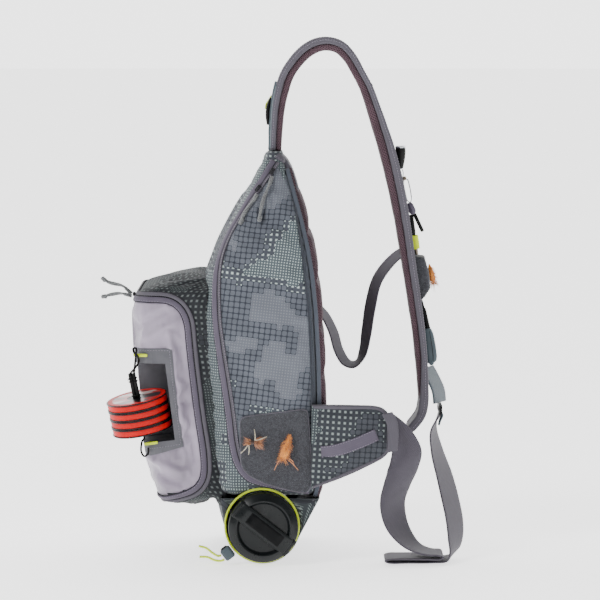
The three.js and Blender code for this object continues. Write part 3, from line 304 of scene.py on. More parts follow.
def ribbed_tape(name, colour, rib=1.3 * MM):
    """Woven tape with close ribs across it."""
    paint = Paint(name, 0.72, Sheen_Weight=0.1, Specular_IOR_Level=0.3)
    uv = paint.cloth_uv()
    u, v = paint.split(uv)
    ribs = paint.math("MULTIPLY_ADD", paint.ripple(v, rib), 0.5, 0.5)
    thread = paint.math("MULTIPLY_ADD", paint.ripple(u, rib * 1.7), 0.15, 0.15)
    height = paint.math("ADD", ribs, thread)
    raised = paint.between(height, 0.1, 0.9)
    # The grooves between the ribs are painted darker: painted shade.
    paint.colour(paint.mix(raised, shaded(colour, 0.8), mottled(paint, colour, uv, 60, 0.06)))
    paint.bump(height, 0.22 * MM, 0.7)
    return paint.material


def coated_cloth(name, colour):
    """Smooth coated cloth with a soft sheen, a fine grain and long slanting patches of painted shade on its folds.
    """
    paint = Paint(name, 0.42, Sheen_Weight=0.3, Specular_IOR_Level=0.45)
    uv = paint.cloth_uv()
    u, v = paint.split(uv)
    # Painted shade: a stretched, slanting noise darkens the cloth in long soft patches, standing in for the shade
    # in its folds.
    drift = paint.node("ShaderNodeMapping", {"Vector": uv, "Rotation": (0, 0, 0.5), "Scale": (1, 0.45, 1)})
    shade = paint.between(paint.noise(drift.outputs[0], 17, 1.6), 0.42, 0.7, 0.0, 0.75)
    paint.colour(paint.mix(shade, mottled(paint, colour, uv, 18, 0.06), shaded(colour, 0.42)))
    paint.roughness(paint.between(paint.noise(uv, 60, 3), 0.3, 0.7, 0.36, 0.5))
    grain = paint.math("ADD", weave_height(paint, u, v, 0.8 * MM), paint.noise(uv, 350, 2))
    paint.bump(grain, 0.12 * MM, 0.5)
    return paint.material


def spacer_mesh(name, colour):
    """Open spacer mesh: staggered eyes between knitted ribs."""
    paint = Paint(name, 0.9, Sheen_Weight=0.05, Specular_IOR_Level=0.2)
    uv = paint.cloth_uv()
    u, v = paint.split(uv)
    pitch = 3.4 * MM
    row_pitch = pitch * 0.6
    row = paint.math("FLOOR", paint.math("DIVIDE", v, row_pitch))
    stagger = paint.math("MULTIPLY", row, pitch / 2)
    eye_u = paint.cell(paint.math("ADD", u, stagger), pitch)
    eye_v = paint.cell(v, row_pitch)
    squares = [paint.math("POWER", eye, 2.0) for eye in (eye_u, eye_v)]
    away = paint.math("SQRT", paint.math("ADD", *squares))
    rib = paint.between(away, 0.45, 0.85)
    # The eyes are painted much darker: painted shade inside the open holes of the mesh.
    paint.colour(paint.mix(rib, shaded(colour, 0.25), mottled(paint, colour, uv, 50, 0.1)))
    paint.bump(rib, 0.7 * MM, 0.9)
    return paint.material


def felted_foam(name, colour):
    """Fuzzy dark foam with paler flecks."""
    paint = Paint(name, 0.95, Sheen_Weight=0.2)
    place = paint.place()
    fleck = paint.between(paint.noise(place, 900, 2, 0.7), 0.5, 0.72)
    paint.colour(paint.mix(fleck, mottled(paint, colour, place, 300, 0.25), shaded(colour, 1.9)))
    paint.bump(paint.noise(place, 700, 4, 0.7), 0.5 * MM, 0.8)
    return paint.material


def moulded(name, colour, roughness=0.42, grain=900, depth=0.05 * MM, metallic=0.0, shine=0.3):
    """Moulded plastic, paint or metal with a fine grain and handling marks."""
    paint = Paint(name, roughness, metallic, Specular_IOR_Level=shine)
    place = paint.place()
    paint.colour(mottled(paint, colour, place, 60, 0.08))
    marks = paint.noise(place, 90, 3)
    paint.roughness(paint.between(marks, 0.3, 0.7, roughness * 0.85, roughness * 1.2))
    paint.bump(paint.noise(place, grain, 2), depth, 0.6)
    return paint.material


def printed_label(name):
    """A glossy label in plain blocks of red, dark and pale."""
    paint = Paint(name, 0.3, Coat_Weight=0.2, Coat_Roughness=0.15)
    place = paint.place()
    stretch = {"Vector": place, "Rotation": (0, 0, 0.6), "Scale": (1, 2.2, 0.2)}
    blocks = paint.noise(paint.node("ShaderNodeMapping", stretch).outputs[0], 34, 0.5)
    tone = paint.mix(paint.math("GREATER_THAN", blocks, 0.47), linear((30, 30, 33)), linear((186, 40, 34)))
    paint.colour(paint.mix(paint.math("GREATER_THAN", blocks, 0.6), tone, linear((196, 186, 182))))
    paint.bump(paint.noise(place, 500, 2), 0.05 * MM, 0.5)
    return paint.material


def fibre(name, colour, tip):
    """Hair, feather and thread: streaks from one colour to another."""
    paint = Paint(name, 0.6, Sheen_Weight=0.3)
    place = paint.place()
    streak = paint.between(paint.noise(place, 900, 2), 0.35, 0.65)
    paint.colour(paint.mix(streak, linear(colour), linear(tip)))
    paint.bump(paint.noise(place, 1500, 1), 0.1 * MM, 0.5)
    return paint.material


# Mesh helpers
def dress(obj, slot, *replaced, material=None):
    """Puts a finished piece on the bag: its material and the nodes that it stands for, which it hides. slot is not
    used.
    """
    if material:
        obj.data.materials.append(material)
    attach(obj, "root")
    if replaced:
        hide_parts(*replaced)
    return obj


def mesh_object(name, vertices, faces, uvs=None, smooth=True):
    """A mesh object; uvs holds one (u, v) for each corner of each face."""
    mesh = bpy.data.meshes.new(name)
    mesh.from_pydata([tuple(map(float, v)) for v in vertices], [], faces)
    if uvs is not None:
        layer = mesh.uv_layers.new(name="cloth")
        layer.data.foreach_set("uv", np.array(uvs, np.float32).ravel())
    mesh.polygons.foreach_set("use_smooth", [smooth] * len(mesh.polygons))
    mesh.update()
    return linked(name, mesh)


def rework(obj, change):
    """Changes an object's mesh in place."""
    work = bmesh.new()
    work.from_mesh(obj.data)
    change(work)
    work.to_mesh(obj.data)
    work.free()
    return obj


def weld(obj, distance):
    """Joins the vertices that lie closer than distance."""
    return rework(obj, lambda work: bmesh.ops.remove_doubles(work, verts=work.verts, dist=distance))


def tidy_normals(obj):
    """Makes the faces of a closed piece point out."""
    return rework(obj, lambda work: bmesh.ops.recalc_face_normals(work, faces=work.faces))


def grid_mesh(name, grid, uv, wrap=False, cap=()):
    """A skin over a grid of rows and columns of points. wrap joins the last column to the first; cap lists
    the rows, first or last, that are closed with a flat face."""
    rows, columns = grid.shape[:2]
    faces, corners = [], []
    for r in range(rows - 1):
        for c in range(columns if wrap else columns - 1):
            d = (c + 1) % columns
            faces.append((r * columns + c, r * columns + d, (r + 1) * columns + d, (r + 1) * columns + c))
            corners += [uv[r, c], uv[r, c + 1], uv[r + 1, c + 1], uv[r + 1, c]]
    for row in cap:
        ring = list(range((row % rows) * columns, (row % rows) * columns + columns))
        faces.append(tuple(ring if row else reversed(ring)))
        corners += [uv[row % rows, c % columns] for c in range(columns)]
    return mesh_object(name, grid.reshape(-1, 3), faces, corners)


def grid_uv(grid, wrap=False, zero=0):
    """Cloth lengths over a grid: across each row from column zero, and down the mean of the columns."""
    looped = np.concatenate([grid, grid[:, :1]], axis=1) if wrap else grid
    across = np.linalg.norm(np.diff(looped, axis=1), axis=2)
    u = np.concatenate([np.zeros((len(grid), 1)), np.cumsum(across, axis=1)], axis=1)
    u = u - u[:, zero : zero + 1]
    down = np.linalg.norm(np.diff(grid, axis=0), axis=2).mean(axis=1)
    v = np.concatenate([[0], np.cumsum(down)])
    return np.stack([u, np.repeat(v[:, None], u.shape[1], axis=1)], axis=2)


def smooth_line(points, per_span=14):
    """A dense centripetal Catmull-Rom curve through points."""
    p = np.array(points, float)
    p = np.vstack([2 * p[0] - p[1], p, 2 * p[-1] - p[-2]])
    line = []
    for a, b, c, d in zip(p, p[1:], p[2:], p[3:]):
        gaps = [math.sqrt(max(np.linalg.norm(y - x), 1e-9)) for x, y in ((a, b), (b, c), (c, d))]
        t = np.concatenate([[0], np.cumsum(gaps)])
        for s in np.linspace(t[1], t[2], per_span, endpoint=False):
            ab = ((t[1] - s) * a + s * b) / t[1]
            bc = ((t[2] - s) * b + (s - t[1]) * c) / (t[2] - t[1])
            cd = ((t[3] - s) * c + (s - t[2]) * d) / (t[3] - t[2])
            abc = ((t[2] - s) * ab + s * bc) / t[2]
            bcd = ((t[3] - s) * bc + (s - t[1]) * cd) / (t[3] - t[1])
            line.append(((t[2] - s) * abc + (s - t[1]) * bcd) / (t[2] - t[1]))
    line.append(p[-2])
    return np.array(line)


def lengths(line):
    return np.concatenate([[0], np.cumsum(np.linalg.norm(np.diff(line, axis=0), axis=1))])


def even(line, count):
    """The same line with count evenly spaced points."""
    line = np.array(line, float)
    along = lengths(line)
    wanted = np.linspace(0, along[-1], count)
    return np.stack([np.interp(wanted, along, line[:, k]) for k in range(line.shape[1])], axis=1)


def directions(line, closed=False):
    ahead = np.roll(line, -1, axis=0) - np.roll(line, 1, axis=0)
    if not closed:
        ahead[0], ahead[-1] = line[1] - line[0], line[-1] - line[-2]
    return ahead / np.linalg.norm(ahead, axis=1)[:, None]


def unit(v):
    v = np.array(v, float)
    return v / np.maximum(np.linalg.norm(v, axis=-1, keepdims=True), 1e-12)


def divided(section, step):
    """A closed section with its sides cut into parts of about one step."""
    dense = []
    for (x0, y0), (x1, y1) in zip(section, section[1:] + section[:1]):
        parts = max(1, round(math.hypot(x1 - x0, y1 - y0) / step))
        dense += [(x0 + (x1 - x0) * k / parts, y0 + (y1 - y0) * k / parts) for k in range(parts)]
    return dense


def rounded_section(width, height, radius, arc=4, crown=0.0):
    """A rounded rectangle around (0, 0), as points of (side, up), its faces swelling out by crown."""
    radius = min(radius, width / 2, height / 2)
    points = []
    for quarter, (sx, sy) in enumerate(((1, 1), (-1, 1), (-1, -1), (1, -1))):
        for i in range(arc + 1):
            angle = math.pi / 2 * (quarter + i / arc)
            x = sx * (width / 2 - radius) + radius * math.cos(angle)
            y = sy * (height / 2 - radius) + radius * math.sin(angle)
            points.append((x, y))
    dense = divided(points, width / 10)
    return [(x, y + math.copysign(crown * max(0, 1 - (2 * x / width) ** 2), y)) for x, y in dense]


def sweep(name, centres, sides, ups, section, closed=False, scale=None):
    """A tape or tube: a section of (side, up) points carried along centres. sides and ups hold one direction
    for each centre or one for all; scale holds (wide, high) shares."""
    centres = np.array(centres, float)
    sides, ups = (np.broadcast_to(np.array(x, float), centres.shape) for x in (sides, ups))
    section = np.array(section, float)
    scale = np.ones((len(centres), 2)) if scale is None else np.array(scale, float)
    wide = section[None, :, 0, None] * scale[:, 0, None, None] * sides[:, None, :]
    high = section[None, :, 1, None] * scale[:, 1, None, None] * ups[:, None, :]
    grid = centres[:, None, :] + wide + high
    around = lengths(np.vstack([section, section[:1]]))
    along = lengths(np.vstack([centres, centres[:1]]) if closed else centres)
    if closed:
        grid = np.concatenate([grid, grid[:1]])
    uv = np.stack(np.meshgrid(around, along[: len(grid)]), axis=2)
    if not closed:
        return tidy_normals(grid_mesh(name, grid, uv, wrap=True, cap=(0, -1)))
    return tidy_normals(weld(grid_mesh(name, grid, uv, wrap=True), 1e-6))


def tree_of(*names):
    """A ray-casting tree over CAD nodes or finished pieces."""
    vertices, faces = [], []
    for name in names:
        obj = nodes[name] if name in nodes else bpy.data.objects[name]
        start = len(vertices)
        vertices += [v.co.copy() for v in obj.data.vertices]
        faces += [[start + i for i in p.vertices] for p in obj.data.polygons]
    return BVHTree.FromPolygons(vertices, faces)


def cast(tree, origin, direction):
    hit, normal, _, _ = tree.ray_cast(Vector(origin), Vector(direction).normalized(), 2.0)
    return (hit, normal) if hit else (None, None)


def median_filled(values, window=7, limit=2 * MM):
    """Replaces the odd values that lie off the median of their neighbours, such as rays through a slit."""
    values = np.array(values, float)
    known = ~np.isnan(values)
    values = np.interp(np.arange(len(values)), np.flatnonzero(known), values[known])
    padded = np.pad(values, window // 2, mode="edge")
    median = np.array([np.nanmedian(padded[i : i + window]) for i in range(len(values))])
    wrong = ~(np.abs(values - median) < limit)
    return np.where(wrong, median, values)


def wrap_ring(tree, centre, angles, reach=0.5):
    """The level outline round a centre, from rays cast inwards at these angles."""
    outs = [np.array((math.cos(a), math.sin(a), 0)) for a in angles]
    found = []
    for out in outs:
        hit, _ = cast(tree, np.array(centre) + reach * out, -out)
        found.append((np.array(hit) - centre) @ out if hit else np.nan)
    return np.array([np.array(centre) + r * o for r, o in zip(median_filled(found), outs)])


def relax(grid, across, down, wrap=False):
    """Evens out a grid's facets, with its first and last rows held."""
    for count, axis in ((across, 1), (down, 0)):
        for _ in range(count):
            mean = (np.roll(grid, 1, axis=axis) + np.roll(grid, -1, axis=axis)) / 2
            soft = grid + 0.5 * (mean - grid)
            if axis == 1 and not wrap:
                soft[:, 0], soft[:, -1] = grid[:, 0], grid[:, -1]
            soft[0], soft[-1] = grid[0], grid[-1]
            grid = soft
    return grid


def inner_rows(tree, ring, centre, level, shares, hold):
    """Rows that close a skin's foot: the ring drawn in by shares, each point set by a ray cast up."""
    rows = []
    for share in shares:
        row = []
        for point in ring:
            place = centre + (point - centre) * share
            hit, _ = cast(tree, (place[0], place[1], level - 0.2), (0, 0, 1))
            height = hit[2] if hit is not None and abs(hit[2] - level) < hold else level
            row.append((place[0], place[1], height))
        rows.append(row)
    return np.array(rows)


def wobble(point, scale, seed=0.0):
    return noise.noise(Vector(point) * scale + Vector((seed, seed * 1.7, seed * 0.6)))


def surface_normals(grid, wrap=False):
    down = np.gradient(grid, axis=0)
    across = np.gradient(grid, axis=1)
    if wrap:
        across = (np.roll(grid, -1, axis=1) - np.roll(grid, 1, axis=1)) / 2
    return unit(np.cross(across, down))


def settle(obj, pinned, pressure, slack, cap, frames=14):
    """Lets a skin billow between its pinned seams by cloth simulation; no point moves further than cap."""
    group = obj.vertex_groups.new(name="pin")
    for index, weight in enumerate(pinned):
        if weight > 0:
            group.add([index], float(weight), "REPLACE")
    cloth = obj.modifiers.new("Cloth", "CLOTH")
    settings = cloth.settings
    settings.quality = 4
    settings.mass = 0.3
    settings.tension_stiffness = 12
    settings.compression_stiffness = 12
    settings.bending_stiffness = 0.6
    settings.use_pressure = True
    settings.uniform_pressure_force = pressure
    settings.shrink_min = -slack
    settings.vertex_group_mass = "pin"
    settings.effector_weights.gravity = 0
    cloth.point_cache.frame_start = 1
    cloth.point_cache.frame_end = frames
    rest = np.array([v.co for v in obj.data.vertices])
    for moment in range(1, frames + 1):
        bpy.context.scene.frame_set(moment)
    shown = obj.evaluated_get(bpy.context.evaluated_depsgraph_get())
    moved = np.array([v.co for v in shown.data.vertices])
    obj.modifiers.remove(cloth)
    bpy.context.scene.frame_set(1)
    shift = np.nan_to_num(moved - rest)
    size = np.linalg.norm(shift, axis=1, keepdims=True)
    shift *= np.minimum(1, cap / np.maximum(size, 1e-9))
    for vertex, place in zip(obj.data.vertices, rest + shift):
        vertex.co = place
    obj.data.update()


def thicken(obj, thickness=1.5 * MM):
    """Gives an open skin its cloth's thickness, inwards."""
    solid = obj.modifiers.new("thickness", "SOLIDIFY")
    solid.thickness = thickness
    solid.offset = -1
    return obj


def keep_faces(obj, name, wanted):
    """A copy of a piece with only the faces whose middle is wanted."""

    def cut(work):
        gone = [f for f in work.faces if not wanted(f.calc_center_median())]
        bmesh.ops.delete(work, geom=gone, context="FACES")
        loose = [v for v in work.verts if not v.link_faces]
        bmesh.ops.delete(work, geom=loose, context="VERTS")

    return rework(linked(name, obj.data.copy()), cut)


STITCH_PITCH = 3.4 * MM
STITCH_LENGTH = 2.1 * MM
STITCH_WIDTH = 0.5 * MM


def stitches(name, line, ups, lift=0.25 * MM):
    """A row of sewn stitches along a line on a surface, as small rounded bars."""
    along = lengths(line)
    count = int(along[-1] / STITCH_PITCH)
    ups = np.atleast_2d(np.array(ups, float))
    vertices, faces = [], []
    for i in range(count):
        ends = []
        for offset in (-STITCH_LENGTH / 2, 0, STITCH_LENGTH / 2):
            s = min(max((i + 0.5) * STITCH_PITCH + offset, 0), along[-1])
            ends.append(np.array([np.interp(s, along, line[:, k]) for k in range(3)]))
        k = min(int((i + 0.5) / count * len(ups)), len(ups) - 1)
        up = unit(ups[k])
        side = unit(np.cross(ends[2] - ends[0], up))
        start = len(vertices)
        for end, rise, half in ((ends[0], 0, 0.5), (ends[1], 1, 1), (ends[2], 0, 0.5)):
            middle = end + up * lift * (0.3 + rise)
            for a, b in ((-1, -0.6), (1, -0.6), (1, 0.3), (0, 0.8), (-1, 0.3)):
                place = middle + side * a * STITCH_WIDTH / 2 * half
                vertices.append(place + up * b * STITCH_WIDTH / 2 * half)
        for ring in (0, 5):
            for j in range(5):
                a, b = start + ring + j, start + ring + (j + 1) % 5
                faces.append((a, b, b + 5, a + 5))
        faces.append(tuple(start + j for j in reversed(range(5))))
        faces.append(tuple(start + 10 + j for j in range(5)))
    obj = mesh_object(name, vertices, faces, [(0, 0)] * sum(len(f) for f in faces))
    return tidy_normals(obj)


def sew(name, line, ups, thread="thread", lift=0.25 * MM):
    """Puts a row of stitches in one of the thread colours on the bag."""
    dress(stitches(name, line, ups, lift), "plain_fabric", material=cloth[thread])


def from_segment(x, z, start, stop):
    """How far along a segment a place lies, as a share, and how far it lies off the segment."""
    (x0, z0), (x1, z1) = start, stop
    along = np.array([x1 - x0, z1 - z0])
    share = float(np.clip(((x - x0) * along[0] + (z - z0) * along[1]) / (along @ along), 0, 1))
    return share, math.hypot(x - x0 - share * along[0], z - z0 - share * along[1])


def rear_ups(line):
    """The normals of a line in the side plane, turned to the wearer's back."""
    along = directions(line)
    ups = np.stack([-along[:, 2], np.zeros(len(line)), along[:, 0]], axis=1)
    return ups if ups[0, 0] > 0 else -ups


# Bag body: places as shares of its depth from the back and of its height from the apex
body_low, body_high = box_of("main_shell")
body_size = body_high - body_low
ZIP_LINE = [
    (0.374, 0.03),
    (0.48, 0.086),
    (0.578, 0.131),
    (0.672, 0.181),
    (0.76, 0.23),
    (0.822, 0.276),
    (0.866, 0.328),
    (0.882, 0.395),
    (0.874, 0.488),
    (0.837, 0.583),
    (0.791, 0.683),
    (0.755, 0.771),
    (0.727, 0.845),
    (0.68, 0.9),
    (0.59, 0.937),
    (0.46, 0.951),
    (0.288, 0.962),
    (0.075, 0.974),
]
PANEL_EDGE = [
    (0.3, 0.085),
    (0.237, 0.133),
    (0.198, 0.195),
    (0.16, 0.276),
    (0.129, 0.362),
    (0.1, 0.452),
    (0.084, 0.54),
    (0.072, 0.64),
    (0.065, 0.74),
    (0.066, 0.86),
    (0.075, 0.974),
]
ZIP_BAND = 12 * MM
COIL_PITCH = 2.2 * MM
COIL_WIDTH = 2.6 * MM
APEX_BAND_LINE = [(-0.0595, -0.13), (-0.05, -0.139), (-0.0395, -0.153), (-0.031, -0.172), (-0.0265, -0.2)]
# Folds of the cloth: two (x, z) ends, then a depth or height and a width in millimetres
BODY_FOLDS = [
    ((-0.078, -0.152), (-0.079, -0.228), 6.0, 3.2),
    ((-0.064, -0.16), (-0.066, -0.215), 3.5, 3.2),
    ((-0.092, -0.186), (-0.088, -0.225), 2.0, 4),
    ((-0.137, -0.33), (-0.128, -0.5), 1.5, 9),
]
POCKET_FOLDS = [
    ((-0.19, -0.345), (-0.176, -0.45), 3.6, 4.5),
    ((-0.178, -0.36), (-0.168, -0.41), -3.4, 3.6),
    ((-0.17, -0.43), (-0.158, -0.5), -4.2, 3.8),
    ((-0.18, -0.44), (-0.172, -0.5), 2.6, 4.5),
    ((-0.226, -0.336), (-0.196, -0.316), -3.2, 5),
    ((-0.218, -0.35), (-0.18, -0.328), 3.6, 6),
    ((-0.21, -0.318), (-0.195, -0.312), 2.2, 6),
    ((-0.214, -0.498), (-0.178, -0.516), 3.8, 6),
    ((-0.208, -0.516), (-0.176, -0.532), -3.6, 5),
    ((-0.205, -0.52), (-0.19, -0.548), 2.4, 5),
]
BOTTLE_TURN = math.radians(4)


def on_body(rows):
    """Points (x, z) of a table of shares of the body's depth and height."""
    return [(body_high[0] - depth * body_size[0], body_high[2] - down * body_size[2]) for depth, down in rows]


def flat_line(rows):
    """A smooth line in the side plane through (x, z) rows, as dense (x, z) points."""
    return smooth_line([(x, 0, z) for x, z in rows])[:, [0, 2]]


def beside(line, offset):
    """A line of (x, z) points moved sideways; a positive offset turns it to the left of its direction."""
    along = directions(line)
    return line + offset * np.stack([-along[:, 1], along[:, 0]], axis=1)


def inside(outline, x, z):
    """True where a point lies inside a closed outline of (x, z) points."""
    after = np.roll(outline, -1, axis=0)
    spans = (outline[:, 1] > z) != (after[:, 1] > z)
    (x0, z0), (x1, z1) = outline[spans].T, after[spans].T
    return bool(np.sum(x < x0 + (z - z0) * (x1 - x0) / (z1 - z0)) % 2)


def distance_to(line, x, z):
    return float(np.min(np.hypot(line[:, 0] - x, line[:, 1] - z)))


zip_middle = flat_line(on_body(ZIP_LINE))
panel_edge = flat_line(on_body(PANEL_EDGE)) + (2.6 * MM, 0)
panel_outline = np.vstack([even(zip_middle, 90), even(panel_edge, 60)[::-1]])


def plate_outline(name):
    """The (x, z) outline of a convex plate node's near face, in order round its middle."""
    places = np.array([v.co for v in nodes[name].data.vertices])
    on_face = np.abs(places[:, 1] - places[:, 1].min()) < 0.05 * MM
    corners = np.unique(np.round(places[on_face][:, [0, 2]], 6), axis=0)
    middle = corners.mean(axis=0)
    return corners[np.argsort(np.arctan2(*(corners - middle).T[::-1]))]


patch_outline = plate_outline("fly_patch")

# The bottle lies across the bag's foot, and the bag arches over it.
hem_low, hem_high = box_of("sleeve_hem")
bottle_middle = (hem_low + hem_high) / 2
arch_radius = (hem_high[2] - hem_low[2]) / 2 + 0.3 * MM


def bottle_x(y):
    return bottle_middle[0] - (y - bottle_middle[1]) * math.tan(BOTTLE_TURN)


def arch_height(x, y):
    off = abs(x - bottle_x(y))
    return bottle_middle[2] + math.sqrt(max(0, arch_radius**2 - off**2)) if off < arch_radius else -1


def body_grid():
    tree = tree_of("main_shell", "side_panel", "main_zip_band")
    crown = bottle_middle[2] + arch_radius
    rows = []
    for z in np.linspace(body_high[2] - 1 * MM, crown + 1 * MM, 112):
        front, _ = cast(tree, (-0.5, 0, z), (1, 0, 0))
        back, _ = cast(tree, (0.5, 0, z), (-1, 0, 0))
        centre = ((front[0] + back[0]) / 2, 0, z)
        ring = wrap_ring(tree, centre, np.linspace(0, 2 * math.pi, 240, endpoint=False))
        ring[0] = ring[1] * (1, 0, 1)
        rows.append(even(np.vstack([ring, ring[:1]]), 181)[:-1])
    last = rows[-1]
    centre = last.mean(axis=0)
    for step in (0.2, 0.5, 0.8, 1.0):
        inset = 1 - 0.045 * step**2
        ring = centre + (last - centre) * inset
        ring[:, 2] = last[0, 2] + (body_low[2] - last[0, 2]) * step
        rows.append(ring)
    foot = rows[-1]
    for share in (0.95, 0.85, 0.7, 0.5, 0.3, 0.12, 0.02):
        rows.append(centre + (foot - centre) * (share, share, 0) + (0, 0, body_low[2] - centre[2]))
    grid = relax(np.array(rows), 3, 8, wrap=True)
    for row in grid[108:]:
        row[:, 2] = [max(z, arch_height(x, y)) for x, y, z in row]
    top = grid[0]
    peak = top.mean(axis=0)
    lid = [peak + (top - peak) * (s, s, 0) + (0, 0, 1.5 * MM * (1 - s)) for s in (0.05, 0.5, 0.85)]
    return np.concatenate([np.array(lid), grid])


def body_fold(x, z):
    """How far the cloth is drawn in at the fold under the zip sliders, and at soft dents."""
    sink = 0.0
    for start, stop, deep, wide in BODY_FOLDS:
        share, off = from_segment(x, z, start, stop)
        sink += deep * MM * math.sin(math.pi * min(1, 0.12 + share)) * math.exp(-((off / (wide * MM)) ** 2))
    return sink


def add_bag_skins():
    grid = body_grid()
    rows, columns = grid.shape[:2]
    zero = int(np.argmin(np.abs(grid[60, :, 0] + 0.076) + 10 * (grid[60, :, 1] > 0)))
    uv = grid_uv(grid, wrap=True, zero=zero)
    uv[:, :, 0] += grid[:, zero, 0][:, None]
    uv[:, :, 1] = lengths(grid[:, zero])[:, None]
    normals = surface_normals(grid, wrap=True)
    if normals[60, zero, 1] > 0:
        normals = -normals
    held = np.ones((rows, columns))
    for r in range(4, rows - 12):
        for c in range(columns):
            x, y, z = grid[r, c]
            near = y < -0.3 * abs(grid[r, :, 1]).max()
            to_zip = distance_to(zip_middle[::6], x, z) - 9 * MM
            to_seam = distance_to(panel_edge[::6], x, z) - 3 * MM
            gap = min(to_zip, to_seam)
            under_patch = near and z < -0.425 and inside(patch_outline, x, z)
            if (near and gap < 0) or under_patch or x > -0.016:
                continue
            held[r, c] = 0 if not near else 1 - min(1, gap / (9 * MM))
    moved = grid.copy()
    for r in range(4, rows - 12):
        for c in range(columns):
            x, y, z = grid[r, c]
            free = 1 - held[r, c]
            lift = 1.1 * MM * wobble(grid[r, c], 16, 3) + 0.5 * MM * wobble(grid[r, c], 45, 7)
            sink = body_fold(x, z) if y < 0 else 0
            moved[r, c] += normals[r, c] * (free * lift - min(1, free + 0.25) * sink)
    skin = grid_mesh("bag_skin", moved, uv, wrap=True, cap=(0, -1))
    tidy_normals(skin)
    settle(skin, held.ravel(), 2.5, 0.03, 3.5 * MM)

    def in_panel(place):
        return place.y < -0.02 and inside(panel_outline, place.x, place.z)

    # The rear edge between the side panel and the back: plain navy cloth, painted darker as well for the shade
    # where the side turns away to the back.
    def in_rear(place):
        edge_x = np.interp(-place.z, -panel_edge[:, 1], panel_edge[:, 0])
        return place.x > edge_x and body_low[2] + 0.01 < place.z and not in_panel(place)

    panel = thicken(keep_faces(skin, "side_panel_cloth", in_panel))
    rear = thicken(keep_faces(skin, "rear_edge_cloth", in_rear))
    shell = thicken(keep_faces(skin, "bag_shell_cloth", lambda p: not in_panel(p) and not in_rear(p)))
    dress(panel, "check_fabric", "side_panel", material=cloth["camo"])
    dress(rear, "plain_fabric", material=cloth["navy"])
    dress(shell, "check_fabric", "main_shell", material=cloth["check"])
    skin_tree = tree_of("bag_skin")
    bpy.data.objects.remove(skin)
    return skin_tree


def side_path(tree, line, side=-1):
    """Points and normals of a side skin under an (x, z) line, seen from the near or far side."""
    line = even(line, max(4, int(lengths(line)[-1] / (2.5 * MM))))
    points, normals = [], []
    for x, z in line:
        hit, normal = cast(tree, (x, side * 0.4, z), (0, -side, 0))
        if hit is None:
            continue
        points.append(hit)
        normals.append(normal if normal[1] * side > 0 else -normal)
    return np.array(points), softened(np.array(normals), 6)


def softened(values, times, closed=False):
    for _ in range(times):
        mean = (np.roll(values, 1, axis=0) + np.roll(values, -1, axis=0)) / 2
        soft = (values + mean) / 2
        if not closed:
            soft[0], soft[-1] = values[0], values[-1]
        values = soft
    return values


def tape(name, points, ups, offset, width, height, lift=0.0, crown=0.0, closed=False):
    """A flat tape beside a line on a surface."""
    ups = unit(ups)
    along = directions(points, closed)
    sides = unit(np.cross(along, ups))
    centres = points + sides * offset + ups * (height / 2 + lift)
    section = rounded_section(width, height, min(width, height) * 0.45, crown=crown)
    return sweep(name, centres, sides, ups, section, closed)


def zip_coil(name, points, ups, offset, closed=False):
    """The zip's coil: small bars that bridge the slit between the tapes."""
    ups = unit(ups)
    sides = unit(np.cross(directions(points, closed), ups))
    line = points + sides * offset
    spots = even(line, int(lengths(line)[-1] / COIL_PITCH))
    across = even(sides, len(spots))
    lifts = even(ups, len(spots))
    vertices, faces = [], []
    for middle, side, up, ahead in zip(spots, across, lifts, directions(spots)):
        start = len(vertices)
        for reach, rise in ((-1, 0.2), (-0.4, 0.8), (0.4, 0.8), (1, 0.2)):
            for back in (-1, 1):
                corner = middle + side * reach * COIL_WIDTH / 2 + ahead * back * COIL_PITCH * 0.3
                for high in (0, 1):
                    vertices.append(corner + up * (rise + 0.7 * high) * MM)
        for k in range(3):
            a = start + 4 * k
            for p, q in ((0, 1), (1, 3), (3, 2), (2, 0)):
                faces.append((a + p, a + q, a + 4 + q, a + 4 + p))
        faces.append((start, start + 2, start + 3, start + 1))
        faces.append((start + 12, start + 13, start + 15, start + 14))
    obj = mesh_object(name, vertices, faces, [(0, 0)] * sum(len(f) for f in faces), smooth=False)
    return tidy_normals(obj)


def add_main_zip(skin):
    points, ups = side_path(skin, zip_middle)
    points = softened(points, 3)
    outer = tape("main_zip_outer_tape", points, ups, -4.1 * MM, 3.9 * MM, 1.8 * MM, crown=0.3 * MM)
    flap = tape("main_zip_flap", points, ups, 2.3 * MM, 7.2 * MM, 1.9 * MM, crown=0.5 * MM)
    base = tape("main_zip_ground", points, ups, 0, ZIP_BAND, 0.5 * MM, lift=-0.2 * MM)
    # A thin dark tape beside the flap's inner edge: painted shadow where the flap's edge shades the band.
    edge = tape("main_zip_flap_shadow_tape", points, ups, 6.3 * MM, 1.1 * MM, 1.0 * MM)
    coil = zip_coil("main_zip_coil", points, ups, -1.7 * MM)
    dress(base, "plain_fabric", "main_zip_band", material=cloth["zip_ground"])
    dress(outer, "plain_fabric", material=cloth["binding"])
    dress(flap, "plain_fabric", material=cloth["zip_flap"])
    dress(edge, "plain_fabric", material=cloth["seam"])
    dress(coil, "black_plastic", material=hard["coil"])
    sides = unit(np.cross(directions(points), ups))
    for name, offset in (("main_zip_stitches", 5.0 * MM), ("main_zip_outer_stitches", -5.2 * MM)):
        sew(name, points + sides * offset + unit(ups) * 1.9 * MM, ups)


def add_panel_seams(skin):
    for name, side in SIDES:
        points, ups = side_path(skin, panel_edge[8:-10], side)
        seam = tape(f"rear_seam_{name}", points, ups, 0, 2.6 * MM, 1.1 * MM)
        dress(seam, "plain_fabric", material=cloth["navy_seam"])
        sides = unit(np.cross(directions(points), ups))
        sew(f"rear_seam_stitches_{name}", points + sides * 3 * MM * side, ups, "dark_thread")


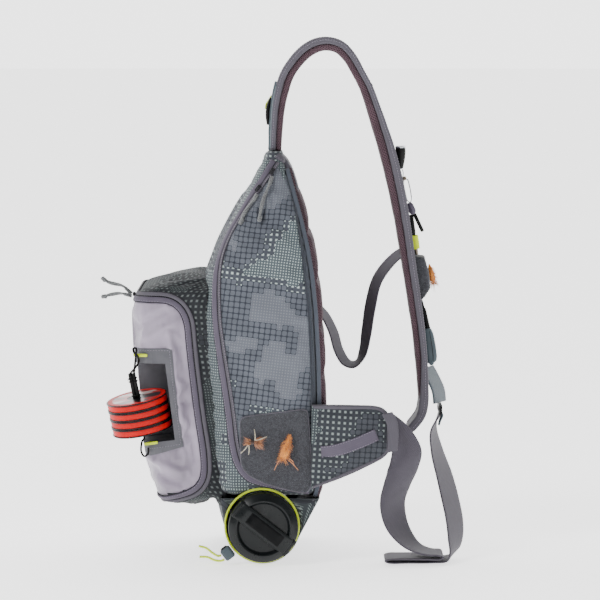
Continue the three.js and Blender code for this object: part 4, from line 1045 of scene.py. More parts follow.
def add_apex_band(skin):
    """The grey band that runs from the strap's foot down the bag's shoulder on each side."""
    run = flat_line(APEX_BAND_LINE)
    for name, side in SIDES:
        points, ups = side_path(skin, run, side)
        band = tape(f"apex_band_{name}", points, ups, 0, 9.5 * MM, 2.0 * MM, lift=-0.3 * MM, crown=0.8 * MM)
        dress(band, "plain_fabric", material=cloth["binding"])
        sides = unit(np.cross(directions(points), ups))
        sew(f"apex_band_stitches_{name}", points - sides * side * 3.4 * MM + unit(ups) * 1.8 * MM, ups)


# Front pocket: places as shares of its depth from the root and of its height from the top
pocket_low, pocket_high = box_of("pocket_body")
pocket_low[0] = box_of("pocket_door")[0][0]
pocket_high[0] = body_low[0]
DOOR_LINE = [
    (1.3, 0.103),
    (0.98, 0.103),
    (0.49, 0.112),
    (0.35, 0.14),
    (0.268, 0.193),
    (0.244, 0.267),
    (0.198, 0.4),
    (0.105, 0.625),
    (0.035, 0.772),
    (0.045, 0.865),
    (0.14, 0.905),
    (0.45, 0.936),
    (0.7, 0.942),
    (1.3, 0.942),
]
FLANGE_LINE = [(1.4, 0.305), (0.45, 0.305), (0.395, 0.477), (0.285, 0.728), (0.74, 0.768), (1.4, 0.82)]
NICHE_LINE = [(1.5, 0.37), (0.545, 0.37), (0.41, 0.7), (1.5, 0.735)]
NICHE_DEPTH = 68 * MM
# The tapes of the pocket's zip: offset towards the door, width, height, lift and crown in millimetres
POCKET_ZIP_TAPES = [
    ("ground", 0, 12, 0.6, -0.2, 0, "zip_ground"),
    # The edge tape is painted shadow: a dark strip along the zip's band where it shades the pocket cloth. The
    # piping is the door's dark piping.
    ("edge", -6.6, 1.6, 1.4, 0, 0, "seam"),
    ("flap", 3.0, 6.6, 2, 0, 0.5, "zip_flap"),
    ("outer_tape", -3.9, 4.6, 1.9, 0, 0.4, "binding"),
    ("piping", 6.7, 1.3, 1.1, 0, 0, "seam"),
]


def on_pocket(rows):
    size = pocket_high - pocket_low
    return np.array([(pocket_high[0] - a * size[0], pocket_high[2] - d * size[2]) for a, d in rows])


door_line = flat_line(on_pocket(DOOR_LINE))
door_middle = beside(door_line, ZIP_BAND / 2)
flange_outline = on_pocket(FLANGE_LINE)
niche_outline = on_pocket(NICHE_LINE)
niche_far = pocket_low[1] + NICHE_DEPTH
pocket_tree = tree_of("pocket_body", "pocket_door", "pocket_zip_band")
shell_tree = tree_of("main_shell")


def pocket_ring(z, count=0):
    """The pocket's outline at a height, from its near root round the front to its far root."""
    root = (body_front(z) + 4 * MM, 0, z)
    far = wrap_ring(pocket_tree, root, math.pi - np.linspace(0, math.pi / 2, 90))
    whole = np.vstack([(far * (1, -1, 1))[:0:-1], far])
    return even(whole, count) if count else whole


def body_front(z):
    hit, _ = cast(shell_tree, (-0.5, 0.0, max(z, body_low[2] + 1 * MM)), (1, 0, 0))
    return hit[0]


def pocket_grid(columns=150):
    profile = []
    for z in np.linspace(pocket_high[2] - 0.6 * MM, body_low[2], 300):
        hit, _ = cast(pocket_tree, (-0.5, 0.02, z), (1, 0, 0))
        if hit is not None and hit[0] < body_front(z):
            profile.append((hit[0], 0, z))
    levels = even(profile, 88)[:, 2]
    rows = [pocket_ring(z, columns) for z in levels]
    foot = np.array((body_front(body_low[2]) - 8 * MM, 0, 0))
    drawn_in = (0.97, 0.93, 0.87, 0.78, 0.64, 0.46, 0.25, 0.05)
    low = inner_rows(pocket_tree, rows[-1], foot, pocket_low[2], drawn_in, 30 * MM)
    middle = np.array((body_front(levels[0]) + 4 * MM, 0, levels[0] + 0.5 * MM))
    top = [middle + (rows[0] - middle) * (s, s, 1) for s in (0.1, 0.6)]
    return relax(np.concatenate([np.array(top), np.array(rows), low]), 2, 5)


def pocket_fold(x, z):
    """Soft folds of the coated door: ridges beside the patch and slanting dents above and below it."""
    lift = 0.0
    for start, stop, high, wide in POCKET_FOLDS:
        _, off = from_segment(x, z, start, stop)
        lift += high * MM * math.exp(-((off / (wide * MM)) ** 2))
    return lift


def add_pocket_skins():
    grid = pocket_grid()
    rows, columns = grid.shape[:2]
    zero = columns // 8
    uv = grid_uv(grid, zero=zero)
    uv[:, :, 0] += grid[:, zero, 0][:, None]
    normals = surface_normals(grid)
    if normals[40, columns // 2, 0] > 0:
        normals = -normals
    door = even(door_line, 120)
    held = np.ones((rows, columns))
    moved = grid.copy()
    for r in range(2, rows - 2):
        for c in range(2, columns - 2):
            x, y, z = grid[r, c]
            gap = distance_to(door_middle[::5], x, z) - 8 * MM
            near_niche = y < niche_far + 4 * MM and inside(flange_outline, x, z)
            if gap < 0 or near_niche or x > -0.143:
                continue
            held[r, c] = 1 - min(1, gap / (10 * MM))
            free = 1 - held[r, c]
            lift = 1.4 * MM * wobble(grid[r, c], 14, 11) + 0.6 * MM * wobble(grid[r, c], 38, 5)
            if inside(door, x, z):
                lift += pocket_fold(x, z) if y < 0 else pocket_fold(x + 0.004, z - 0.006) * 0.8
                lift += 1.5 * MM * wobble((x * 0.6, y, z * 1.2), 20, 2) if abs(y) < 0.075 else 0
            moved[r, c] += normals[r, c] * free * lift
    skin = grid_mesh("pocket_skin", moved, uv)
    if np.mean([p.normal[2] for p in skin.data.polygons][: 5 * columns]) < 0:
        skin.data.flip_normals()
    settle(skin, held.ravel(), 3.0, 0.035, 3.5 * MM)
    middle = niche_outline.mean(axis=0)
    niche_room = niche_outline + np.sign(niche_outline - middle) * 1.5 * MM

    def in_door(place):
        return inside(door, place.x, place.z)

    def in_niche(place):
        return place.y < niche_far + 1 * MM and inside(niche_room, place.x, place.z)

    panel = thicken(keep_faces(skin, "pocket_door_cloth", lambda p: in_door(p) and not in_niche(p)))
    body = thicken(keep_faces(skin, "pocket_cloth", lambda p: not in_door(p)))
    dress(panel, "lilac_fabric", "pocket_door", material=cloth["lilac"])
    dress(body, "check_fabric", "pocket_body", material=cloth["pocket_check"])
    skin_tree = tree_of("pocket_skin")
    bpy.data.objects.remove(skin)
    return skin_tree


def pocket_zip_loop(skin):
    """Points and normals of the pocket's zip: down the near side, round the front and up the far side."""
    corner = -0.2
    side_run = [p for p in door_middle if p[0] > corner]
    points, _ = side_path(skin, np.array(side_run))
    top = pocket_ring(side_run[0][1])
    bottom = pocket_ring(side_run[-1][1])
    top_front = top[top[:, 0] < corner]
    bottom_front = bottom[bottom[:, 0] < side_run[-1][0] - 2 * MM]
    far = (points * (1, -1, 1))[::-1]
    loop = np.vstack([points, bottom_front, far, top_front[::-1]])
    loop = even(np.vstack([loop, loop[:1]]), 460)[:-1]
    loop = softened(loop, 14, closed=True)
    seated, ups = [], []
    for point in loop:
        place, normal, _, _ = skin.find_nearest(Vector(point))
        out = Vector(point) - Vector((-0.16, 0, point[2]))
        ups.append(normal if normal.dot(out) > 0 else -normal)
        seated.append(place)
    return softened(np.array(seated), 4, closed=True), softened(np.array(ups), 8, closed=True)


def add_pocket_zip(skin):
    seated, ups = pocket_zip_loop(skin)
    sides = unit(np.cross(directions(seated, True), unit(ups)))
    to_door = np.array((-0.2, sides[60][1], -0.42)) - seated[60]
    inner = 1 if sides[60] @ to_door > 0 else -1
    for name, offset, width, height, lift, crown, material in POCKET_ZIP_TAPES:
        size = (inner * offset * MM, width * MM, height * MM, lift * MM, crown * MM)
        band = tape(f"pocket_zip_{name}", seated, ups, *size, closed=True)
        replaced = ["pocket_zip_band"] if name == "ground" else []
        dress(band, "plain_fabric", *replaced, material=cloth[material])
    coil = zip_coil("pocket_zip_coil", seated, ups, inner * -1.0 * MM, closed=True)
    dress(coil, "black_plastic", material=hard["coil"])
    sew("pocket_zip_stitches", seated + sides * inner * 5.4 * MM + unit(ups) * 1.9 * MM, ups)


# Finishes
cloth = {
    "check": gridded_cloth("check_fabric", (0.36, 0.43, 0.5), 4.0, 0, 0.9),
    # Painted shade: the pocket's and the wing's copies are darkened by their dark shares, for the shadow that lies
    # on these pieces.
    "pocket_check": gridded_cloth("pocket_fabric", (0.3, 0.42, 0.56), 9.0, 0, 0.6),
    "wing_check": gridded_cloth("wing_fabric", (0.3, 0.4, 0.52), 17.0, 4, 0.78),
    "sleeve_check": gridded_cloth("sleeve_fabric", (0.45, 0.52, 0.58), 12.0, 0, 0.7),
    "camo": gridded_cloth("side_panel_fabric", (0.44, 0.53, 0.56), 31.0, -7),
    # Plain navy cloth; on the rear edge its dark colour is also painted shade, where the side turns away.
    "navy": plain_cloth("rear_edge_fabric", (92, 98, 109)),
    "navy_seam": plain_cloth("rear_seam_fabric", (62, 68, 80)),
    "lilac": coated_cloth("coated_lilac", (172, 163, 178)),
    "binding": ribbed_tape("grosgrain_binding", (106, 103, 111)),
    "zip_flap": ribbed_tape("zip_flap_tape", (110, 104, 117)),
    # Dark tape for the pocket's piping; used as the main zip's flap shadow tape and as the pocket zip's edge tape,
    # it is painted shadow.
    "seam": ribbed_tape("dark_piping_and_painted_shadow", (52, 50, 60)),
    "zip_ground": ribbed_tape("zip_ground_tape", (50, 48, 58)),
    "mesh": spacer_mesh("maroon_spacer_mesh", (110, 91, 99)),
    "webbing": ribbed_tape("woven_webbing", (98, 94, 103), 1.5 * MM),
    "foam": felted_foam("felted_foam", (78, 79, 84)),
    "foam_edge": felted_foam("felted_foam_edge", (104, 102, 110)),
    "lime": plain_cloth("lime_tape", (206, 222, 14), 1.0 * MM, 0.6),
    "tab": plain_cloth("tab_fabric", (104, 115, 122), 1.6 * MM),
    "thread": plain_cloth("grey_thread", (158, 153, 166), 0.6 * MM),
    "dark_thread": plain_cloth("dark_thread", (48, 50, 60), 0.6 * MM),
}
hard = {
    "coil": moulded("zip_coil_plastic", (40, 40, 46), 0.35),
    "black": moulded("black_plastic", (24, 24, 27), 0.42, shine=0.18),
    "chrome": moulded("chrome", (205, 207, 210), 0.16, metallic=1.0),
    "grey": moulded("grey_grip", (93, 104, 110), 0.55),
    "paint": moulded("bottle_paint", (40, 44, 45), 0.3, 1600, 0.03 * MM, shine=0.22),
    "red": moulded("red_band", (196, 10, 6), 0.4, shine=0.15),
    "label": printed_label("paper_label"),
    "pull": fibre("pull_cord", (92, 94, 97), (138, 140, 140)),
    "lime_cord": fibre("lime_cord", (190, 214, 30), (226, 240, 90)),
    "clip": moulded("clip_plastic", (104, 98, 112), 0.5),
    "lime": moulded("lime_rubber", (206, 220, 10), 0.5),
    "patch": moulded("patch_cloth", (112, 112, 117), 0.72, 1400, 0.12 * MM),
    "spool_black": moulded("spool_flange_plastic", (24, 24, 27), 0.28),
    "slider": moulded("slider_metal", (58, 58, 62), 0.35, metallic=0.6),
    "steel": moulded("brushed_steel", (140, 132, 120), 0.28, metallic=1.0),
    "cap_face": moulded("cap_grip_face", (26, 28, 30), 0.4, shine=0.1),
    "orange": fibre("orange_hackle", (232, 168, 66), (176, 104, 44)),
    "brown": fibre("brown_hackle", (166, 108, 70), (222, 172, 130)),
    "dark_body": fibre("dark_body", (50, 34, 28), (92, 58, 40)),
    "pale_leg": fibre("pale_rubber_leg", (222, 216, 200), (180, 172, 150)),
    "webbing_tab": moulded("webbing_tab_cloth", (118, 112, 125), 0.75, 1200, 0.15 * MM),
}


# Shoulder strap: shares of its reach from the crown and of its drop below the crown's middle line
STRAP_REACH = 182 * MM
STRAP_DROP = 480 * MM
STRAP_WIDTH = 70 * MM
STRAP_THICKNESS = 14 * MM
STRAP_LINE = [
    (-0.338, 0.2736),
    (-0.33, 0.21),
    (-0.319, 0.165),
    (-0.297, 0.123),
    (-0.264, 0.083),
    (-0.209, 0.05),
    (-0.137, 0.021),
    (-0.055, 0.0035),
    (0.022, 0),
    (0.099, 0.0087),
    (0.165, 0.034),
    (0.225, 0.073),
    (0.28, 0.113),
    (0.324, 0.159),
    (0.374, 0.217),
    (0.418, 0.273),
    (0.478, 0.371),
    (0.522, 0.459),
    (0.571, 0.577),
    (0.615, 0.682),
    (0.648, 0.777),
    (0.67, 0.882),
    (0.673, 0.927),
    (0.654, 0.963),
    (0.582, 1),
]
# Shares of the strap's length, width and thickness
STRAP_SHAPE = np.array(
    [
        (0, 0.68, 0.85),
        (0.12, 0.9, 1),
        (0.25, 1, 1),
        (0.5, 1, 0.95),
        (0.7, 0.93, 0.82),
        (0.88, 0.84, 0.75),
        (1, 0.74, 0.64),
    ]
)
strap_places = [(a * STRAP_REACH, 0, STRAP_THICKNESS / 2 - d * STRAP_DROP) for a, d in STRAP_LINE]
strap_line = even(smooth_line(strap_places), 1201)
strap_along = directions(strap_line)


def strap_at(share):
    """The strap's middle, direction and outward normal at a share of its length."""
    place = share * (len(strap_line) - 1)
    low = int(min(place, len(strap_line) - 2))
    part = place - low
    middle = strap_line[low] * (1 - part) + strap_line[low + 1] * part
    along = unit(strap_along[low] * (1 - part) + strap_along[low + 1] * part)
    return middle, along, np.array((-along[2], 0, along[0]))


def strap_half(share):
    return float(np.interp(share, STRAP_SHAPE[:, 0], STRAP_SHAPE[:, 1])) * STRAP_WIDTH / 2


def strap_deep(share):
    return float(np.interp(share, STRAP_SHAPE[:, 0], STRAP_SHAPE[:, 2])) * STRAP_THICKNESS


# How much the padding swells past the plain strap, outwards and inwards, at shares of its length
STRAP_SWELL = np.array(
    [
        (0, 0.4, 0.4),
        (0.1, 1.2, 1.0),
        (0.2, 1.5, 1.2),
        (0.33, 0.3, 0.4),
        (0.4, 1.5, 1.6),
        (0.45, 2.8, 2.2),
        (0.52, 4.2, 2.0),
        (0.6, 3.8, 1.4),
        (0.68, 3.2, 1.3),
        (0.8, 2.7, 1.4),
        (0.9, 1.6, 1.0),
        (1, 0.4, 0.3),
    ]
)


def strap_swell(share, side):
    return float(np.interp(share, STRAP_SWELL[:, 0], STRAP_SWELL[:, 1 if side > 0 else 2])) * MM


def on_strap(share, stand_off, y=0.0):
    middle, _, out = strap_at(share)
    return middle + out * (strap_deep(share) / 2 + stand_off) + np.array((0, y, 0))


def strap_layer(name, start, stop, low, high, half, count, crown=0.0, radius=2.5 * MM):
    """A layer that follows the strap between two shares of its length and two stand-offs from its middle."""
    shares = np.linspace(start, stop, count)
    frames = [strap_at(s) for s in shares]
    heights = np.array([high(s) - low(s) for s in shares])
    halves = np.array([half(s) for s in shares])
    centres = [m + out * (low(s) + high(s)) / 2 for s, (m, _, out) in zip(shares, frames)]
    section = rounded_section(2 * halves.max(), heights.max(), radius, crown=crown)
    scale = np.stack([halves / halves.max(), heights / heights.max()], axis=1)
    return sweep(name, centres, (0, 1, 0), [out for _, _, out in frames], section, scale=scale)


def reshape(obj, shift):
    """Moves each vertex of a piece by what shift gives for it and its normal."""
    normals = np.array([v.normal for v in obj.data.vertices])
    for vertex, normal in zip(obj.data.vertices, normals):
        vertex.co = np.array(vertex.co) + shift(np.array(vertex.co), normal)
    obj.data.update()
    return obj


def add_shoulder_strap():
    count = 330

    def bottom(share):
        return -strap_deep(share) / 2 - strap_swell(share, -1)

    def seam(share):
        inner = float(np.interp(share, (0, 0.3, 0.4, 0.86, 0.94, 1), (0, 0.02, 0.1, 0.02, -0.46, -0.5)))
        return strap_deep(share) * inner - (strap_swell(share, -1) if share > 0.93 else 0)

    def top(share):
        return strap_deep(share) / 2 + strap_swell(share, 1)

    def shell_low(share):
        return seam(share) + 0.3 * MM

    def shell_high(share):
        return top(share) - 0.4 * MM

    def lining_half(share):
        return strap_half(share) - 2.2 * MM

    shell = strap_layer("strap_shell", 0, 1, shell_low, shell_high, strap_half, count, 0.4 * MM)
    reshape(shell, lambda p, n: n * 0.35 * MM * wobble(p, 50, 4))
    lining = strap_layer("strap_mesh_lining", 0, 0.935, bottom, seam, lining_half, count, 0.9 * MM, 3 * MM)
    reshape(lining, lambda p, n: n * 0.5 * MM * wobble(p, 60, 9))
    dress(shell, "plain_fabric", "shoulder_strap", material=cloth["binding"])
    dress(lining, "mesh_fabric", "strap_lining", material=cloth["mesh"])
    shares = np.linspace(0.003, 0.997, count)
    frames = [strap_at(s) for s in shares]
    outs = [out for _, _, out in frames]
    tall = np.array([(top(s) - seam(s)) / (0.58 * STRAP_THICKNESS) for s in shares])
    scale = np.stack([np.ones(count), tall], axis=1)
    section = rounded_section(5.4 * MM, 8.6 * MM, 2.2 * MM)
    for name, side in SIDES:

        def beside_strap(upper_share, shift):
            """Points beside the strap, between its seam and its top, shifted from its edge."""
            return [
                m + out * (seam(s) * (1 - upper_share) + top(s) * upper_share)
                + np.array((0, side * (strap_half(s) + shift), 0))
                for s, (m, _, out) in zip(shares, frames)
            ]

        middles = beside_strap(0.5, -1.4 * MM)
        binding = sweep(f"strap_binding_{name}", middles, (0, 1, 0), outs, section, scale=scale)
        reshape(binding, lambda p, n: n * 0.25 * MM * wobble(p, 90, 2))
        dress(binding, "plain_fabric", material=cloth["binding"])
        line = [
            on_strap(s, strap_swell(s, 1) + 0.1 * MM, side * (strap_half(s) - 3.0 * MM))
            for s in np.linspace(0.01, 0.99, 400)
        ]
        sew(f"strap_stitches_{name}", np.array(line), outs, lift=0.2 * MM)
        face = np.array(beside_strap(0.6, 1.35 * MM))
        sew(f"strap_edge_stitches_{name}", face, (0, side, 0), lift=0.1 * MM)

    def crease_low(share):
        return top(share) - 0.2 * MM

    def crease_high(share):
        return top(share) + 0.8 * MM

    seam_ridge = strap_layer("strap_crown_seam", 0.349, 0.3525, crease_low, crease_high, strap_half, 8)
    dress(seam_ridge, "plain_fabric", material=cloth["binding"])


def add_strap_anchor():
    wrap_stop = 0.118

    def face(share):
        return strap_deep(share) / 2 + max(0.3 * MM, strap_swell(share, 1) - 0.2 * MM)

    def cloth_high(share):
        return face(share) + 3 * MM

    def wrap_low(share):
        return face(share) - 5.5 * MM * math.sqrt(max(0, 1 - share / wrap_stop))

    def wrap_high(share):
        return face(share) + 0.6 * MM

    def wrap_half(share):
        return strap_half(share) + 0.9 * MM

    def tab_low(share):
        return face(share) + (7.4 - 5.2 * max(0, (share - 0.08) / 0.0165)) * MM

    def tab_high(share):
        return tab_low(share) + 1.8 * MM

    anchor = strap_layer(
        "strap_anchor_cloth", 0, 0.122, face, cloth_high, lambda s: 16 * MM, 60, 0.3 * MM, 1.2 * MM
    )
    wrap = strap_layer(
        "strap_anchor_wrap", 0.004, wrap_stop, wrap_low, wrap_high, wrap_half, 60, 0.6 * MM, 1.4 * MM
    )
    dress(wrap, "check_fabric", material=cloth["tab"])
    reshape(anchor, lambda p, n: n * 0.4 * MM * wobble(p, 70, 1))
    dress(anchor, "check_fabric", "strap_anchor", material=cloth["tab"])
    shares = np.linspace(0.045, 0.092, 40)
    frames = [strap_at(s) for s in shares]
    bulge = np.sin(np.linspace(0.12, 1, 40) * math.pi * 0.9)
    centres = [m + out * (face(s) + (3.4 + 2.1 * b) * MM) for s, b, (m, _, out) in zip(shares, bulge, frames)]
    scale = np.stack([0.85 + 0.15 * bulge, 0.45 + 0.55 * bulge], axis=1)
    section = rounded_section(35 * MM, 4 * MM, 1.5 * MM, crown=0.5 * MM)
    ups = [out for _, _, out in frames]
    buckle = sweep("strap_buckle_shell", centres, (0, 1, 0), ups, section, scale=scale)
    dress(buckle, "black_plastic", "strap_buckle", material=hard["black"])
    tab = strap_layer(
        "buckle_pull_tab", 0.072, 0.0965, tab_low, tab_high, lambda s: 9 * MM, 14, 0.2 * MM, 0.9 * MM
    )
    dress(tab, "lime_fabric", "buckle_tab", material=cloth["lime"])


def add_back_panel():
    tree = tree_of("back_panel")
    low, high = box_of("back_panel")
    levels = np.linspace(high[2] - 0.5 * MM, low[2] + 0.5 * MM, 170)
    outer, halves = [], []
    for z in levels:
        hit, _ = cast(tree, (0.3, 0, z), (-1, 0, 0))
        outer.append(hit[0])
        side, _ = cast(tree, (hit[0] - 4.5 * MM, -0.4, z), (0, 1, 0))
        halves.append(-side[1] if side is not None else halves[-1])
    outer = softened(np.array(outer), 12)
    halves = softened(np.array(halves), 12)
    thickness = 9 * MM
    middle = np.stack([outer - thickness / 2, np.zeros(len(levels)), levels], axis=1)
    section = divided(rounded_section(2 * halves.max(), thickness, 4 * MM), 4 * MM)
    scale = np.stack([halves / halves.max(), np.ones(len(levels))], axis=1)
    pad = sweep("back_pad", middle, (0, 1, 0), rear_ups(middle), section, scale=scale)
    spine = 40 * MM
    quilt_pitch = 58 * MM

    def quilt(p, n):
        if n[0] < 0.3:
            return np.zeros(3) + n * 0.3 * MM * wobble(p, 60, 2) * (abs(n[1]) > 0.5)
        half = float(np.interp(-p[2], -levels, halves))
        rows = abs(((p[2] + 0.02) / quilt_pitch) % 1 - 0.5) * quilt_pitch
        cross = min(rows, abs(abs(p[1]) - spine), half - abs(p[1]) + 2 * MM)
        groove = math.exp(-((cross / (4.5 * MM)) ** 2))
        swell = 1 - math.exp(-((cross / (14 * MM)) ** 2))
        taper = 7 * MM * math.exp(-((levels[0] - p[2]) / (22 * MM)))
        return n * (swell * 1.6 * MM - groove * 2.6 * MM) + np.array((-taper, 0, 0))

    reshape(pad, quilt)
    pinned = np.array([0.0 if v.normal[0] > 0.3 else 1.0 for v in pad.data.vertices])
    settle(pad, pinned, 1.5, 0.01, 2 * MM, 10)
    dress(pad, "mesh_fabric", "back_panel", material=cloth["mesh"])
    add_pad_crown(halves[0])
    for name, side in SIDES:
        edge = np.stack([outer - thickness + 2.4 * MM, side * (halves + 0.2 * MM), levels], axis=1)
        out = (0, side, 0)
        binding = tape(f"back_pad_binding_{name}", edge, out, 0, 5.2 * MM, 1.2 * MM, crown=0.3 * MM)
        dress(binding, "plain_fabric", material=cloth["navy"])


# Webbing: the loop's rows are shares of the way from the wing's end to the ladder lock along X, Y and Z and
# of its drop, then the turn and yaw of its width in degrees. The stabiliser's are shares of the body's box.
WEBBING_WIDTH = 50 * MM
WEBBING_THICKNESS = 2 * MM
STABILISER_WIDTH = 25 * MM
LOOP_DROP = 190 * MM
LOOP_LINE = [
    (0, 0, 0, 0, 0, 0),
    (0.16, 0, 0, 0.09, 32, 5),
    (0.241, 0, 0, 0.178, 60, 12),
    (0.181, 0.016, 0, 0.273, 70, 25),
    (0.069, 0.033, 0, 0.383, 76, 40),
    (0.024, 0.049, 0, 0.478, 80, 52),
    (0.09, 0.066, 0, 0.588, 84, 58),
    (0.241, 0.074, 0, 0.678, 88, 64),
    (0.452, 0.082, 0, 0.745, 90, 72),
    (0.723, 0.09, 0, 0.778, 90, 80),
    (0.933, 0.099, 0, 0.784, 90, 86),
    (0.988, 0.099, 0, 0.795, 90, 90),
    (0.933, 0.099, 0, 0.807, 90, 90),
    (0.602, 0.099, 0, 0.807, 90, 90),
    (0.151, 0.099, 0, 0.807, 90, 90),
    (-0.06, 0.099, 0, 0.809, 90, 90),
    (-0.126, 0.107, 0, 0.82, 90, 90),
    (-0.06, 0.115, 0, 0.831, 90, 90),
    (0.301, 0.123, 0, 0.832, 90, 90),
    (0.783, 0.14, 0, 0.832, 90, 90),
    (1.114, 0.164, 0, 0.824, 90, 84),
    (1.235, 0.214, 0, 0.78, 90, 74),
    (1.265, 0.312, 0, 0.7, 90, 66),
    (1.25, 0.427, 0, 0.6, 90, 64),
    (1.174, 0.575, 0.1, 0.476, 90, 64),
    (1.069, 0.707, 0.3, 0.349, 90, 66),
    (0.933, 0.838, 0.6, 0.217, 90, 72),
    (0.873, 0.937, 0.85, 0.093, 90, 80),
    (1, 1, 1, 0, 90, 89),
]
STABILISER_LINE = [
    (0.02, 0.33, 0.478),
    (0.075, 0.3, 0.5),
    (0.15, 0.27, 0.55),
    (0.2, 0.24, 0.605),
    (0.27, 0.21, 0.64),
    (0.345, 0.18, 0.643),
    (0.41, 0.15, 0.61),
    (0.445, 0.12, 0.55),
    (0.48, 0.1, 0.47),
    (0.54, 0.07, 0.39),
    (0.64, 0.04, 0.34),
    (0.735, 0.01, 0.31),
    (0.775, 0, 0.303),
]
# How much of the stabiliser's width faces the near side, at each of its places
STABILISER_SEEN = (0.3, 0.36, 0.42, 0.42, 0.34, 0.16, 0.34, 0.46, 0.5, 0.46, 0.42, 0.36, 0.3)
# The flap's places in millimetres from the wing's rear, near and upper faces
WING_FLAP_LINE = [(-5, -0.6, -9), (0.5, -1.4, -20), (2.5, -1.6, -34), (1.5, -1.2, -56)]
PAD_CROWN_LINE = [
    (-0.058, -0.13),
    (-0.0525, -0.138),
    (-0.0455, -0.1515),
    (-0.0395, -0.169),
    (-0.0345, -0.192),
]


def add_wing_flap():
    """The cloth flap that carries the webbing over the wing's rear end."""
    low, high = box_of("waist_wing")
    middles = [(high[0] + x * MM, low[1] + y * MM, high[2] + z * MM) for x, y, z in WING_FLAP_LINE]
    flap = strip("wing_end_flap", middles, [(1, 0.06, 0.25)] * len(middles), 13 * MM, 2 * MM)
    dress(flap, "webbing", material=cloth["binding"])


def add_pad_crown(half):
    """The bound top of the back pad, from the strap's foot to the pad's rear face."""
    line = smooth_line([(x, 0, z) for x, z in PAD_CROWN_LINE])
    shares = np.linspace(0, 1, len(line))
    wide = np.interp(shares, (0, 0.4, 1), (0.72, 0.9, 1.0))
    high = np.interp(shares, (0, 0.3, 1), (0.6, 1, 0.9))
    section = rounded_section(2 * half, 12 * MM, 5 * MM)
    scale = np.stack([wide, high], axis=1)
    crown = sweep("back_pad_crown", line, (0, 1, 0), rear_ups(line), section, scale=scale)
    dress(crown, "plain_fabric", material=cloth["binding"])


def width_direction(turn, yaw):
    turn, yaw = math.radians(turn), math.radians(yaw)
    return (math.sin(turn) * math.cos(yaw), math.sin(turn) * math.sin(yaw), math.cos(turn))


def strip(name, middles, widths, width, thickness):
    """Webbing through places, each with the direction of its width."""
    centres = smooth_line(middles, 10)
    sides = unit(smooth_line(widths, 10))
    along = directions(centres)
    ups = unit(np.cross(along, sides))
    section = rounded_section(width, thickness, thickness * 0.45, arc=3)
    return sweep(name, centres, sides, ups, section)


def add_webbing():
    wing_low, wing_high = box_of("waist_wing")
    lock_low, lock_high = box_of("ladder_lock")
    start = np.array(
        (
            wing_high[0] + 0.3 * MM + WEBBING_THICKNESS / 2,
            wing_high[1] - 4.5 * MM,
            wing_high[2] - 0.345 * (wing_high[2] - wing_low[2]),
        )
    )
    end = np.array(((lock_low[0] + lock_high[0]) / 2, 0, lock_low[2] - 0.6 * MM))
    way = end - start
    middles = [start + (a * way[0], s * way[1], r * way[2] - d * LOOP_DROP) for a, s, r, d, _, _ in LOOP_LINE]
    widths = [width_direction(turn, yaw) for *_, turn, yaw in LOOP_LINE]
    loop = strip("shoulder_webbing_loop", middles, widths, WEBBING_WIDTH, WEBBING_THICKNESS)
    dress(loop, "webbing", "shoulder_webbing", material=cloth["webbing"])
    shares = np.array(STABILISER_LINE)
    ahead = body_high[0] + shares[:, 0] * body_size[0]
    aside = shares[:, 1] * body_size[1] / 2
    middles = np.stack([ahead, aside, body_high[2] - shares[:, 2] * body_size[2]], axis=1)
    along = directions(middles)
    level = np.array((0, 1, 0)) - along * along[:, 1:2]
    facing = unit(np.cross(along, level))
    seen = np.array(STABILISER_SEEN)[:, None]
    widths = unit(facing * seen + unit(level) * np.sqrt(1 - seen**2))
    stabiliser = strip("stabiliser_strap", middles, widths, STABILISER_WIDTH, WEBBING_THICKNESS)
    dress(stabiliser, "webbing", "stabiliser_webbing", material=cloth["webbing"])


